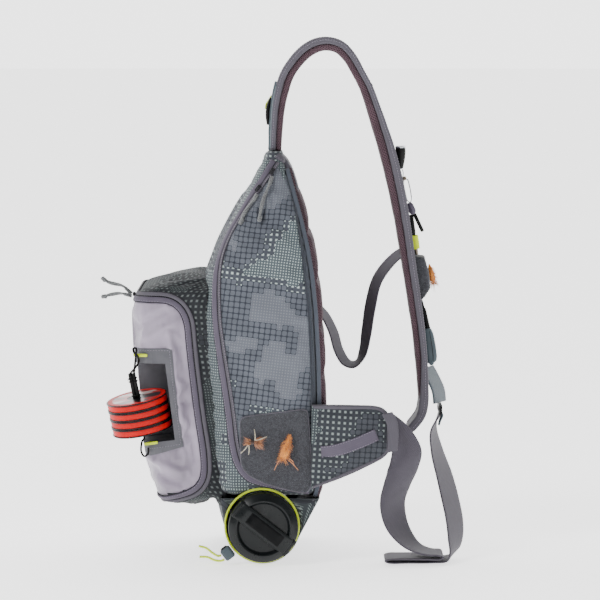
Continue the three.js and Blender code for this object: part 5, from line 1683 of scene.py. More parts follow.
def add_waist_wing():
    tree = tree_of("waist_wing")
    low, high = box_of("waist_wing")
    half_thickness = 4.5 * MM
    places = np.linspace(low[0] + 0.6 * MM, high[0] - 0.6 * MM, 70)
    tops, bottoms, nears = [], [], []
    for x in places:
        near, _ = cast(tree, (x, -0.4, high[2] - 0.45 * (high[2] - low[2])), (0, 1, 0))
        middle = near[1] + half_thickness
        top, _ = cast(tree, (x, middle, 0), (0, 0, -1))
        bottom, _ = cast(tree, (x, middle, -1), (0, 0, 1))
        tops.append(top[2])
        bottoms.append(bottom[2])
        nears.append(near[1])
    tops, bottoms, nears = (softened(np.array(v), 10) for v in (tops, bottoms, nears))
    centres = np.stack([places, nears + half_thickness, (tops + bottoms) / 2], axis=1)
    tall = (tops - bottoms).max()
    section = divided(rounded_section(tall, 7.4 * MM, 2.4 * MM), 2.5 * MM)
    scale = np.stack([(tops - bottoms) / tall, np.ones(len(places))], axis=1)
    wing = sweep("waist_wing_pad", centres, (0, 0, 1), (0, -1, 0), section, scale=scale)
    uv = wing.data.uv_layers["cloth"].data
    for loop in wing.data.loops:
        place = wing.data.vertices[loop.vertex_index].co
        uv[loop.index].uv = (place[0], place[2])

    def rim(p):
        top, bottom = np.interp(p[0], places, tops), np.interp(p[0], places, bottoms)
        return min(top - p[2], p[2] - bottom, high[0] - p[0])

    held = [1.0 if rim(v.co) < 6 * MM or v.co[0] < low[0] + 12 * MM else 0.0 for v in wing.data.vertices]
    seam_x = high[0] - 6 * MM

    def pillow(p, n):
        seam = math.exp(-(((p[0] - seam_x + 0.25 * (p[2] - high[2])) / (3 * MM)) ** 2))
        swell = 1 - math.exp(-((max(0, rim(p) - 4 * MM) / (12 * MM)) ** 2))
        return n * (abs(n[1]) > 0.5) * (swell * (0.9 + 0.8 * wobble(p, 30, 6)) * MM - seam * 0.8 * MM)

    reshape(wing, pillow)
    settle(wing, np.array(held), 2.0, 0.02, 2.5 * MM, 10)
    dress(wing, "check_fabric", "waist_wing", material=cloth["wing_check"])
    upper = np.stack([places, nears + half_thickness, tops], axis=1)
    lower = np.stack([places, nears + half_thickness, bottoms], axis=1)[::-1]
    outline = even(softened(np.vstack([upper, lower]), 3), 170)
    ups = unit((outline - centres[25]) * (1, 0, 1))
    section = rounded_section(9.4 * MM, 5.4 * MM, 2 * MM)
    binding = sweep("wing_binding", outline - ups * 2.2 * MM, (0, 1, 0), ups, section)
    dress(binding, "plain_fabric", material=cloth["binding"])
    add_wing_band(tree_of("waist_wing_pad"))


def add_wing_band(wing):
    """The lilac band that crosses the wing, with its two rows of stitches."""
    low, high = box_of("wing_band")
    left = low[2] + 7.5 * MM
    right = high[2] - 7.5 * MM
    shares = ((0, 0), (0.3, 0.14), (0.6, 0.45), (1, 1))
    run = [(low[0] + s * (high[0] - low[0]), left + t * (right - left)) for s, t in shares]
    points, ups = side_path(wing, flat_line(run)[2:-2])
    band = tape("wing_lilac_band", points, softened(ups, 20), 0, 15 * MM, 1.2 * MM, lift=0.2 * MM)
    dress(band, "lilac_fabric", "wing_band", material=cloth["zip_flap"])
    sides = unit(np.cross(directions(points), unit(ups)))
    for name, offset in (("upper", 6.3 * MM), ("lower", -6.3 * MM)):
        sew(f"wing_band_stitches_{name}", points + sides * offset + unit(ups) * 1.4 * MM, ups)


# Turned and round pieces
def square_frame(axis):
    axis = unit(axis)
    side = unit(np.cross(axis, (1, 0, 0) if abs(axis[0]) < 0.9 else (0, 1, 0)))
    return axis, side, np.cross(axis, side)


def turned(name, start, axis, rows, count=48, ring=False):
    """A turned piece: rows of (along, radius) from start on an axis; ring joins the last row to the first."""
    axis, side, up = square_frame(axis)
    angles = np.linspace(0, 2 * math.pi, count, endpoint=False)
    spokes = np.cos(angles)[:, None] * side + np.sin(angles)[:, None] * up
    rows = list(rows) + ([rows[0]] if ring else [])
    grid = np.array([np.array(start) + axis * a + spokes * r for a, r in rows])
    around = np.linspace(0, 1, count + 1) * 2 * math.pi * max(r for _, r in rows)
    down = lengths(np.array(rows, float))
    uv = np.stack(np.meshgrid(around, down), axis=2)
    made = grid_mesh(name, grid, uv, wrap=True, cap=() if ring else (0, -1))
    if ring:
        weld(made, 2e-6)
    tidy_normals(made).data.set_sharp_from_angle(angle=math.radians(35))
    return made


def bevel(obj, width):
    rim = obj.modifiers.new("rim", "BEVEL")
    rim.width = width
    rim.segments = 2
    rim.limit_method = "ANGLE"
    rim.angle_limit = math.radians(30)


def tube(name, line, radius, count=10, closed=False):
    """A round tube along a line, with one radius or one for each point."""
    line = np.array(line, float)
    radii = np.broadcast_to(np.array(radius, float), (len(line),))
    along = directions(line, closed)
    side = square_frame(along[0])[1]
    sides = []
    for ahead in along:
        side = unit(side - ahead * (side @ ahead))
        sides.append(side)
    ups = np.cross(along, np.array(sides))
    angles = np.linspace(0, 2 * math.pi, count, endpoint=False)
    section = [(math.cos(a), math.sin(a)) for a in angles]
    grow = np.stack([radii, radii], axis=1)
    return sweep(name, line, sides, ups, section, closed, grow)


def joined(name, *pieces):
    """One object made of several finished pieces."""
    work = bmesh.new()
    materials = []
    for piece in pieces:
        start = len(work.faces)
        work.from_mesh(piece.data)
        work.faces.ensure_lookup_table()
        own = list(piece.data.materials)
        shift = len(materials)
        materials += own
        for face in list(work.faces)[start:]:
            face.material_index += shift
    mesh = bpy.data.meshes.new(name)
    work.to_mesh(mesh)
    work.free()
    for material in materials:
        mesh.materials.append(material)
    obj = linked(name, mesh)
    for piece in pieces:
        bpy.data.objects.remove(piece)
    return obj


def hairs(name, roots, heads, width):
    """Fine tapered fibres from each root to its head."""
    vertices, faces = [], []
    for root, head in zip(np.array(roots, float), np.array(heads, float)):
        _, side, up = square_frame(head - root)
        start = len(vertices)
        for share, size in ((0, 1), (0.35, 0.9), (0.7, 0.6), (1, 0.12)):
            middle = root + (head - root) * share
            for k in range(3):
                angle = 2 * math.pi * k / 3
                spoke = math.cos(angle) * side + math.sin(angle) * up
                vertices.append(middle + spoke * width / 2 * size)
        for ring in range(3):
            for k in range(3):
                a, b = start + 3 * ring + k, start + 3 * ring + (k + 1) % 3
                faces.append((a, b, b + 3, a + 3))
        faces.append((start, start + 2, start + 1))
        faces.append((start + 9, start + 10, start + 11))
    return tidy_normals(mesh_object(name, vertices, faces))


# Foam fly patch and the flies in it, their legs as (x, z) places from the fly's middle
INWARDS = np.array((0, 1, 0))
FLY_1_LEGS = [
    ((0.002, 0.003), (0.001, 0.0165)),
    ((0.003, 0.003), (0.0165, 0.0075)),
    ((-0.0065, -0.003), (-0.0155, -0.013)),
    ((-0.0055, -0.003), (-0.006, -0.0145)),
]
FLY_2_LEGS = [
    ((-0.006, -0.013), (-0.0105, -0.018), (-0.0145, -0.0265)),
    ((0.003, -0.0145), (0.0085, -0.0195), (0.0145, -0.0265)),
    ((0.0035, -0.0125), (0.008, -0.016), (0.0095, -0.0215)),
]


def add_fly_patch():
    low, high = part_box("fly_patch")
    corners = even(np.vstack([patch_outline, patch_outline[:1]]), 241)[:-1]
    ring = softened(corners, 30, closed=True)
    middle = ring.mean(axis=0)
    back, front = high[1], low[1]
    rows = [(1.0, back), (1.0, front + 1.6 * MM), (0.994, front + 0.6 * MM), (0.985, front + 0.1 * MM)]
    rows += [(s, front) for s in np.linspace(0.96, 0.02, 48)]
    grid = []
    for share, y in rows:
        rough = 0.45 * MM if share < 0.99 else 0
        places = middle + (ring - middle) * share
        grid.append([(x, y + rough * wobble((x, 0, z), 420, 3), z) for x, z in places])
    grid = np.array(grid)
    uv = np.stack([grid[:, :, 0], grid[:, :, 2]], axis=2)
    uv = np.concatenate([uv, uv[:, :1]], axis=1)
    pad = tidy_normals(grid_mesh("fly_patch_foam", grid, uv, wrap=True, cap=(0, -1)))
    dress(pad, "foam", "fly_patch", material=cloth["foam"])
    rim = np.array([(x, front + 1.2 * MM, z) for x, z in ring])
    outs = np.array([(x - middle[0], -0.012, z - middle[1]) for x, z in ring])
    edge = tape("fly_patch_edge", rim, outs, 0, 2.4 * MM, 0.8 * MM, crown=0.2 * MM, closed=True)
    dress(edge, "foam", material=cloth["foam_edge"])
    rng = np.random.default_rng(5)
    roots, tips = [], []
    while len(roots) < 2600:
        x, z = rng.uniform(low[0], high[0]), rng.uniform(low[2], high[2])
        if inside(ring, x, z):
            lean = rng.normal(0, 0.9 * MM, 2)
            roots.append((x, front + 0.1 * MM, z))
            tips.append((x + lean[0], front - rng.uniform(0.3, 1.1) * MM, z + lean[1]))
    fuzz = hairs("fly_patch_fuzz", roots, tips, 0.24 * MM)
    dress(fuzz, "foam", material=cloth["foam_edge"])


def fly_centre(name, shift):
    low, high = box_of(name)
    return (low + high) / 2 + shift


def add_fly_1():
    """The dark fly with pale rubber legs."""
    centre = fly_centre("fly_1", (0, 0, 0))
    axis = unit((1, 0, -0.1))
    start = centre - axis * 8 * MM
    rows = in_mm([(0, 0.6), (3, 2.2), (6, 2.6), (9, 2.0), (13, 2.4), (16, 0.8)])
    body = turned("fly_1_body", start, axis, rows, 16)
    dress(body, "dark_feather", "fly_1", material=hard["dark_body"])
    for name, way, spread, count, first, last, seed in (
        ("fly_1_hackle", axis, 7.5 * MM, 190, 0.5, 0.95, 11),
        ("fly_1_tail", -axis, 5.0 * MM, 110, 0.6, 1.0, 12),
    ):
        fibres = scatter_hackle(
            name, centre, way, 16 * MM, spread, count, first, last, seed, 0.42 * MM, INWARDS
        )
        dress(fibres, "feather", material=hard["brown"])
    for number, ((x0, z0), (x1, z1)) in enumerate(FLY_1_LEGS, 1):
        start = centre + (x0, -2.5 * MM, z0)
        stop = centre + (x1, -2.0 * MM, z1)
        bow = (start + stop) / 2 + (0.0006, -1.5 * MM, 0)
        leg = bent_leg(f"fly_1_leg_{number}", [start, bow, stop], 0.65 * MM)
        dress(leg, "feather", material=hard["pale_leg"])


def add_fly_2():
    """The large orange fly with three brown legs."""
    centre = fly_centre("fly_2", (0.001, 0.5 * MM, 0.002))
    axis = unit((0.3, 0, 1))
    start = centre - axis * 16 * MM
    rows = in_mm([(0, 1.5), (5, 5.2), (12, 5.4), (20, 3.4), (28, 2.2), (33, 0.8)])
    body = turned("fly_2_body", start, axis, rows, 18)
    reshape(body, lambda p, n: n * 1.1 * MM * wobble(p, 350, 6))
    dress(body, "feather", "fly_2", material=hard["orange"])
    for name, way, spread, count, first, last, seed, width in (
        ("fly_2_hackle", -axis, 7.5 * MM, 330, 0.1, 0.95, 21, 0.5 * MM),
        ("fly_2_crown", axis, 4.0 * MM, 90, 0.6, 1.0, 22, 0.45 * MM),
    ):
        fibres = scatter_hackle(name, centre, way, 30 * MM, spread, count, first, last, seed, width, INWARDS)
        dress(fibres, "feather", material=hard["orange"])
    for number, way in enumerate(FLY_2_LEGS, 1):
        points = [centre + (x, -2.5 * MM - k * 0.6 * MM, z) for k, (x, z) in enumerate(way)]
        leg = bent_leg(f"fly_2_leg_{number}", points, 0.75 * MM)
        dress(leg, "feather", material=hard["brown"])


def add_fly_3():
    """The orange fly on the pocket, with a short brown tail."""
    centre = fly_centre("fly_3", (-0.0005, 0, 0))
    axis = unit((-0.22, 0, 1))
    start = centre - axis * 12 * MM
    rows = in_mm([(0, 1.0), (5, 3.6), (13, 3.8), (20, 2.4), (25, 0.8)])
    body = turned("fly_3_body", start, axis, rows, 16)
    reshape(body, lambda p, n: n * 0.9 * MM * wobble(p, 380, 2))
    dress(body, "feather", "fly_3", material=hard["orange"])
    inward = unit((-1, 0, 0.2))
    skirt = scatter_hackle(
        "fly_3_hackle", centre, -axis, 24 * MM, 6.0 * MM, 260, 0.1, 1.0, 31, 0.45 * MM, inward
    )
    dress(skirt, "feather", material=hard["orange"])
    roots = [centre + (x, y, -0.011) for x, y in ((0, -0.001), (0.002, 0), (0.003, 0.001))]
    spread = ((0.0, -0.002), (0.003, 0), (0.005, 0.002))
    heads = [centre + (x, y, -0.021 - 0.002 * k) for k, (x, y) in enumerate(spread)]
    tails = hairs("fly_3_tail", roots, heads, 0.6 * MM)
    dress(tails, "feather", material=hard["brown"])


def scatter_hackle(name, centre, axis, length, spread, count, start, stop, seed, width=0.5 * MM, flat=None):
    """Hackle fibres around a fly's body, swept back along its axis."""
    rng = np.random.default_rng(seed)
    axis, side, up = square_frame(axis)
    roots, tips = [], []
    for _ in range(count):
        share = rng.uniform(start, stop)
        angle = rng.uniform(0, 2 * math.pi)
        out = math.cos(angle) * side + math.sin(angle) * up
        root = centre + axis * length * (share - 0.5) + out * 1.0 * MM
        reach = spread * rng.uniform(0.65, 1.1)
        sweep_back = rng.uniform(0.5, 1.3)
        tip = root + out * reach + axis * reach * sweep_back
        if flat is not None:
            tip = tip - flat * max(0.0, (tip - centre) @ flat) * 0.9
        roots.append(root)
        tips.append(tip)
    return hairs(name, roots, tips, width)


def bent_leg(name, points, radius):
    line = even(smooth_line(points, 6), 14)
    radii = np.linspace(radius, radius * 0.6, 14)
    return tube(name, line, radii, 6)


# Tippet patch, spools and the bar they hang on
SPOOL_DIAMETER = 76 * MM
SPOOL_PITCH = 10.5 * MM
SPOOL_FOOT = np.array((-0.224, -0.0769, -0.4655))
SPOOL_AXIS = unit((-math.tan(math.radians(11)), -math.tan(math.radians(7)), 1))


def add_spools():
    rim = SPOOL_DIAMETER / 2 / MM
    flange = in_mm([(0, 5), (0, rim - 0.4), (0.4, rim), (1.1, rim), (1.5, rim - 0.4), (1.5, 5)])
    band = in_mm([(1.5, 5), (1.5, 36.2), (1.9, 36.9), (5, 37.2), (8.1, 36.9), (8.5, 36.2), (8.5, 5)])
    label = in_mm([(0, 12), (0, 36), (0.25, 36), (0.25, 12)])
    ring = in_mm([(0, 30.5), (0, 36.2), (0.4, 36.2), (0.4, 30.5)])
    for number in range(1, 5):
        foot = SPOOL_FOOT + SPOOL_AXIS * (number - 1) * SPOOL_PITCH
        for part, high, rows, slot, material in (
            ("lower_flange", 0, flange, "black_plastic", "spool_black"),
            ("upper_flange", 8.5, flange, "black_plastic", "spool_black"),
            ("band", 0, band, "spool_band", "red"),
            ("label", 10.0, label, "spool_band", "label"),
            ("label_ring", 10.0, ring, "spool_band", "red"),
        ):
            name = f"spool_{number}_{part}"
            piece = turned(name, foot + SPOOL_AXIS * high * MM, SPOOL_AXIS, rows, 72, ring=True)
            replaced = [f"spool_{number}"] if part == "lower_flange" else []
            dress(piece, slot, *replaced, material=hard[material])


def add_tippet_patch():
    finish_node("tippet_patch", hard["patch"], 0.4 * MM)
    tree = tree_of("tippet_patch")
    outline = [np.array(p) for p in flange_outline if p[0] > -0.3]
    upper = outline[1] + (-3 * MM, -2.5 * MM)
    lower = outline[3] + (-3.5 * MM, 3 * MM)
    runs = {
        "top": [outline[1] + (-0.062, -2.5 * MM), upper],
        "side": [upper, outline[2] + (-3 * MM, 0), lower],
        "foot": [lower, outline[3] + (-0.05, -4.5 * MM)],
    }
    for name, run in runs.items():
        line = even(np.array(run, float), 60)
        points, ups = [], []
        for x, z in line:
            hit, normal = cast(tree, (x, -0.4, z), (0, 1, 0))
            if hit is not None:
                points.append(hit)
                ups.append(normal if normal[1] < 0 else -normal)
        if len(points) > 3:
            sew(f"tippet_patch_stitches_{name}", np.array(points), softened(np.array(ups), 5))


def add_tippet_bar():
    stack = 4 * SPOOL_PITCH
    top = SPOOL_FOOT + SPOOL_AXIS * (stack + 30 * MM)
    foot = SPOOL_FOOT - SPOOL_AXIS * 3 * MM
    across = unit(np.cross(SPOOL_AXIS, (0, 1, 0)))
    deep = np.cross(SPOOL_AXIS, across)
    tab_up = np.mean(box_of("tab_upper"), axis=0)
    tab_low = np.mean(box_of("tab_lower"), axis=0)
    cords = []
    for side in (-1, 1):
        shift = across * side * 2.3 * MM
        line = even(np.array([foot + shift, top + shift * 0.9]), 20)
        cords.append(tube(f"bar_tube_{side}", line, 2.5 * MM, 12))
    for high in (2 * MM, 20 * MM, 24 * MM):
        middle = SPOOL_FOOT + SPOOL_AXIS * (stack + high)
        ring = [middle + (across * 5.0 * math.cos(t) + deep * 3.0 * math.sin(t)) * MM for t in turns(24)]
        cords.append(tube(f"bar_tie_{high}", ring, 0.9 * MM, 6, closed=True))
    upper = [
        top + across * 2 * MM,
        (top + tab_up) / 2 + (0.001, -2 * MM, 0),
        tab_up + (-0.006, -2.5 * MM, -0.004),
        tab_up + (-0.0105, -2.5 * MM, 0.001),
        tab_up + (-0.0115, -1.5 * MM, 0.006),
        tab_up + (-0.008, -2.5 * MM, 0.006),
        tab_up + (-0.0085, -2.5 * MM, -0.003),
        top - across * 3 * MM,
    ]
    lower = [
        foot,
        foot + (0.001, -0.012, -0.006),
        tab_low + (-0.012, -3.5 * MM, 0.003),
        tab_low + (-0.0125, -3.5 * MM, -0.008),
        tab_low + (-0.009, -3.5 * MM, -0.0135),
        tab_low + (-0.0045, -3.0 * MM, -0.011),
        tab_low + (-0.004, -2.5 * MM, -0.003),
    ]
    for name, way in (("upper", upper), ("lower", lower)):
        cords.append(tube(f"bar_loop_{name}", smooth_line(way, 8), 1.3 * MM, 8))
    knot = top - SPOOL_AXIS * 6 * MM
    cords.append(scatter_hackle("bar_tie_tail", knot, across, 2 * MM, 7 * MM, 2, 0.4, 0.6, 3, 1.6 * MM))
    dress(joined("tippet_bar_cord", *cords), "black_plastic", "tippet_bar", material=hard["black"])


def turns(count):
    return np.linspace(0, 2 * math.pi, count, endpoint=False)


# Bottle, its cap, the sleeve under the bag and the drawcord's lock. The cap's rows are places along it and
# radii in millimetres; the sleeve's far end is drawn in by steps in millimetres and shares.
CAP_ROWS = [
    (0, 33.8),
    (0.6, 34.6),
    (4.6, 41.9),
    (5.6, 42.5),
    (33, 42.5),
    (34, 41.8),
    (34, 30.6),
    (8, 30.6),
    (8, 1),
    (5, 1),
    (5, 29.5),
    (4.2, 30.6),
    (0.5, 32.3),
]
SLEEVE_CORNERS = (-0.1288, -0.0072)
SLEEVE_RADIUS = 45.1 * MM
SLEEVE_END = [(1.5, 0.985), (2.6, 0.95), (2.9, 0.85), (2.9, 0.6), (2.9, 0.3), (2.9, 0.05)]
BOTTLE_AXIS = np.array((-math.sin(BOTTLE_TURN), math.cos(BOTTLE_TURN), 0))
BOTTLE_NEAR = np.array((-0.0755, -0.134, -0.5799))


def rotated_box(name, centre, size, axes, segments=4, edge=0.8 * MM):
    """A block on three axes with rounded edges."""
    work = bmesh.new()
    bmesh.ops.create_cube(work, size=1.0)
    bmesh.ops.subdivide_edges(work, edges=work.edges, cuts=segments, use_grid_fill=True)
    axes = np.array([unit(a) for a in axes])
    half = np.array(size) / 2
    for vertex in work.verts:
        p = np.array(vertex.co) * np.array(size)
        inner = np.clip(p, -(half - edge), half - edge)
        over = p - inner
        length = np.linalg.norm(over)
        p = inner + (over / length * edge if length > 1e-9 else 0)
        vertex.co = np.array(centre) + p @ axes
    mesh = bpy.data.meshes.new(name)
    work.to_mesh(mesh)
    work.free()
    mesh.polygons.foreach_set("use_smooth", [True] * len(mesh.polygons))
    return linked(name, mesh)


def add_bottle():
    shell = turned("bottle_cap_shell", BOTTLE_NEAR, BOTTLE_AXIS, in_mm(CAP_ROWS), 96, ring=True)
    turn = math.radians(38)
    across = np.array((math.cos(turn), 0, -math.sin(turn)))
    across = unit(across - BOTTLE_AXIS * (across @ BOTTLE_AXIS))
    axes = (across, np.cross(BOTTLE_AXIS, across), BOTTLE_AXIS)

    def block(name, shift, deep, size, segments, edge):
        """A block on the cap, shifted across it and along its axis, with its size in millimetres."""
        place = BOTTLE_NEAR + across * shift * MM + BOTTLE_AXIS * deep * MM
        return rotated_box(name, place, np.array(size) * MM, axes, segments, edge * MM)

    bar = block("bottle_cap_grip", 0, 2.7, (76, 23, 7.2), 6, 2.4)
    inlay = block("bottle_cap_grip_face", 2, -0.7, (50, 15, 0.8), 5, 0.3)
    for side in (-1, 1):
        notch = block(f"bottle_cap_notch_{side + 2}", side * 37, 4.2, (11, 24, 4.4), 4, 1.4)
        dress(notch, "bottle_paint", material=hard["paint"])
    dress(shell, "bottle_paint", "bottle_cap", material=hard["paint"])
    dress(bar, "bottle_paint", material=hard["paint"])
    dress(inlay, "bottle_paint", material=hard["cap_face"])
    finish_node("bottle_body", hard["paint"])
    neck = in_mm([(34.4, 36), (34.6, 39), (38, 41), (38.4, 36)])
    collar = turned("bottle_collar", BOTTLE_NEAR, BOTTLE_AXIS, neck, 72, ring=True)
    dress(collar, "chrome", material=hard["steel"])


def sleeve_profile(y, radius):
    """The sleeve's outline across the bottle: down from the bag, round under the bottle and up again."""
    centre = np.array((bottle_x(y), bottle_middle[2]))
    top = box_of("bottle_sleeve")[1][2] - 0.3 * MM
    left, right = SLEEVE_CORNERS
    line = []
    for corner, turn in ((left, 1), (right, -1)):
        dx, dz = corner - centre[0], top - centre[1]
        angle = math.atan2(dz, dx) + turn * math.acos(radius / math.hypot(dx, dz))
        line.append((corner, angle % (2 * math.pi)))
    (left, start), (right, stop) = line
    stop = stop + 2 * math.pi if stop < start else stop
    arc = [centre + radius * np.array((math.cos(a), math.sin(a))) for a in np.linspace(start, stop, 70)]
    return even([(left, top), *arc, (right, top)], 120)


def add_sleeve():
    low, high = box_of("bottle_sleeve")
    levels = np.linspace(low[1] + 0.4 * MM, high[1] - 3 * MM, 60)
    rows = []
    for y in levels:
        rows.append([(x, y, z) for x, z in sleeve_profile(y, SLEEVE_RADIUS)])
    for step, share in SLEEVE_END:
        y = levels[-1] + step * MM
        middle = np.array((bottle_x(y), bottle_middle[2] + 0.008))
        profile = middle + (sleeve_profile(y, SLEEVE_RADIUS) - middle) * share
        rows.append([(x, y, z) for x, z in profile])
    grid = np.array(rows)
    normals = surface_normals(grid)
    if normals[30, 60, 2] > 0:
        normals = -normals
    moved = grid.copy()
    for r in range(3, len(levels)):
        for c in range(120):
            free = min(1, min(c, 119 - c) / 20)
            moved[r, c] += normals[r, c] * free * (0.9 * MM * wobble(grid[r, c], 30, 8) - 0.3 * MM)
    skin = thicken(grid_mesh("bottle_sleeve_cloth", moved, grid_uv(grid)), 1.4 * MM)
    foot = [p.normal[2] for p in skin.data.polygons if abs(p.center[2] - low[2]) < 6 * MM]
    if np.mean(foot) > 0:
        skin.data.flip_normals()
    dress(skin, "check_fabric", "bottle_sleeve", material=cloth["sleeve_check"])
    add_sleeve_front(levels[0] - 0.2 * MM)
    hem_y = (hem_low[1] + hem_high[1]) / 2
    hem_middle = np.array((bottle_x(hem_low[1]) - 1.2 * MM, hem_y, bottle_middle[2] + 1.4 * MM))
    around = np.array([(math.cos(a), 0, math.sin(a)) for a in turns(120)])
    hem_line = hem_middle + 44.9 * MM * around
    outs = unit(hem_line - hem_middle)
    section = rounded_section(5.6 * MM, 2.8 * MM, 1.3 * MM)
    hem = sweep("sleeve_hem_cord", hem_line, (0, 1, 0), outs, section, closed=True)
    dress(hem, "lime_fabric", "sleeve_hem", material=cloth["lime"])
    for side, x, lean in (("front", -0.1245, 0.012), ("back", -0.014, -0.012)):
        start = np.array((x, low[1] - 0.2 * MM, high[2] - 1 * MM))
        line = [start + np.array((lean, 0, -0.02)) * t for t in np.linspace(0, 1, 12)]
        trim = tube(f"sleeve_edge_{side}", line, 1.2 * MM, 8)
        dress(trim, "plain_fabric", material=cloth["binding"])


def add_sleeve_front(face):
    """The cloth that closes the sleeve's near end round the bottle's cap."""
    profile = sleeve_profile(face, SLEEVE_RADIUS + 0.6 * MM)
    profile = np.vstack([profile, even([profile[-1], profile[0]], 60)[1:]])
    centre = np.array((bottle_x(face), bottle_middle[2]))
    inner = centre + unit(profile - centre) * 44.6 * MM
    grid = []
    for share in np.linspace(0, 1, 9):
        bow = 2.2 * MM * math.sin(math.pi * share)
        grid.append([(x, face - bow, z) for x, z in profile * (1 - share) + inner * share])
    grid = np.array(grid)
    front = grid_mesh("bottle_sleeve_front", grid, grid_uv(grid))
    if np.mean([p.normal[1] for p in front.data.polygons]) > 0:
        front.data.flip_normals()
    dress(thicken(front, 1.2 * MM), "check_fabric", material=cloth["sleeve_check"])


def add_cord_lock():
    low, high = box_of("cord_lock")
    centre = (low + high) / 2
    turn = math.radians(217)
    along = np.array((-math.sin(turn), 0, math.cos(turn)))
    axes = ((math.cos(turn), 0, math.sin(turn)), (0, 1, 0), along)
    size = np.array((13.2, 10.6, 15.4)) * MM
    shell = rotated_box("cord_lock_body", centre, size, axes, 6, 2.6 * MM)
    dress(shell, "grey_grip", "cord_lock", material=hard["grey"])
    size = np.array((8.5, 6.5, 3.6)) * MM
    button = rotated_box("cord_lock_button", centre - along * 7.4 * MM, size, axes, 4, 1.4 * MM)
    dress(button, "black_plastic", material=hard["black"])


def finish_node(name, material, rim=0.0):
    """A CAD node that stays: its material and a small bevel on its edges."""
    obj = nodes[name]
    if len(obj.material_slots):
        for slot in obj.material_slots:
            slot.material = material
    else:
        obj.data.materials.append(material)
    if rim:
        bevel(obj, rim)


# Tools on the strap's outer face: the snap's outline in millimetres, then shares of the strap's length with
# the foam's height, and with the low and high faces of the forceps' rings in millimetres
SNAP_OUTLINE = [
    (-15, -1),
    (-13.5, 2.6),
    (-8, 3.4),
    (4, 3.4),
    (12, 2.6),
    (15, 0.4),
    (12, -2.6),
    (4, -3.2),
    (-10, -3.0),
]
STRAP_PATCH_ROWS = np.array(
    [
        (0.672, 0.17),
        (0.677, 0.86),
        (0.705, 1),
        (0.735, 0.94),
        (0.748, 0.51),
        (0.755, 0.17),
    ]
)
FORCEPS_RINGS = np.array(
    [
        (0.8095, 3.0, 10.0),
        (0.8125, 1.6, 12.0),
        (0.822, 0.9, 13.6),
        (0.842, 0.6, 15.0),
        (0.862, 0.7, 15.4),
        (0.87, 1.6, 14.4),
        (0.8735, 3.4, 11.0),
    ]
)


def strap_tool(name, slot, material, start, stop, rows, count=24, replaced=()):
    """A turned tool between two places on the strap, each a share of its length and a stand-off in
    millimetres. Its rows are shares of its length and radii in millimetres."""
    a, b = (on_strap(share, stand_off * MM) for share, stand_off in (start, stop))
    length = np.linalg.norm(b - a)
    piece = turned(name, a, b - a, [(share * length, radius * MM) for share, radius in rows], count)
    return dress(piece, slot, *replaced, material=hard[material])


def add_retractor():
    rows = [(0.0, 5.4), (0.03, 6.3), (0.2, 6.5), (0.45, 5.9), (0.7, 4.7), (0.9, 3.6), (0.97, 3.0), (1, 1.4)]
    ends = ((0.475, 11.0), (0.512, 5.2))
    strap_tool("retractor_grip", "black_plastic", "black", *ends, rows, replaced=["retractor_body"])
    rows = [(0, 3.6), (0.1, 5.0), (0.35, 6.2), (0.5, 6.6), (0.9, 6.6), (1, 6.0)]
    ends = ((0.4705, 11.7), (0.4755, 11.0))
    strap_tool("retractor_crown", "chrome", "chrome", *ends, rows, 32, ["retractor_cap"])
    finish_node("retractor_tab", hard["webbing_tab"], 0.3 * MM)
    middle = on_strap(0.5185, 4.8 * MM)
    _, along, out = strap_at(0.5185)
    ring = [middle + (along * 6.2 * math.cos(t) + out * 2.6 * math.sin(t)) * MM for t in turns(28)]
    loop = tube("retractor_link", ring, 0.55 * MM, 8, closed=True)
    dress(loop, "chrome", material=hard["chrome"])


def add_snap():
    middle = on_strap(0.5535, 8.2 * MM)
    _, along, out = strap_at(0.5535)
    ring = [middle + (along * a + out * b) * MM for a, b in SNAP_OUTLINE + SNAP_OUTLINE[:1]]
    wire = tube("snap_loop", smooth_line(ring, 8)[:-1], 0.75 * MM, 8, closed=True)
    dress(wire, "chrome", "snap_wire", material=hard["chrome"])
    rows = [(0, 1.6), (0.15, 2.8), (0.8, 3.0), (1, 1.8)]
    strap_tool("snap_swivel", "chrome", "steel", (0.527, 6.6), (0.534, 7.2), rows, 16)
    rows = [(0, 2.6), (0.12, 4.6), (0.3, 5.2), (0.75, 5.2), (0.9, 4.2), (1, 2.8)]
    strap_tool("tool_clip_grip", "grey_grip", "clip", (0.576, 6.6), (0.5975, 10.5), rows, 6, ["tool_clip"])


def add_lower_tools():
    rows = [(0, 2.0), (0.06, 2.4), (0.5, 2.3), (0.93, 2.3), (1, 1.7)]
    strap_tool("tool_arm", "black_plastic", "black", (0.5975, 11.4), (0.6315, 18.2), rows, 12, ["tool_rod"])
    rows = [(0, 2.4), (0.1, 2.9), (0.9, 3.2), (1, 2.6)]
    strap_tool("tool_stem", "black_plastic", "black", (0.598, 7), (0.6355, 6.2), rows, 16, ["tool_shaft"])
    rows = [(0, 4.8), (0.04, 5.7), (0.5, 5.9), (0.96, 5.7), (1, 4.8)]
    strap_tool("lime_grip", "lime_fabric", "lime", (0.6358, 6.2), (0.6615, 6.2), rows, 32, ["lime_sleeve"])
    rows = [(0, 2.2), (0.5, 2.2), (1, 1.9)]
    strap_tool("tool_point", "chrome", "steel", (0.661, 6.8), (0.672, 7.0), rows, 12)
    strap_tool("tool_seat", "black_plastic", "black", (0.661, 3.2), (0.672, 3.0), rows, 12)


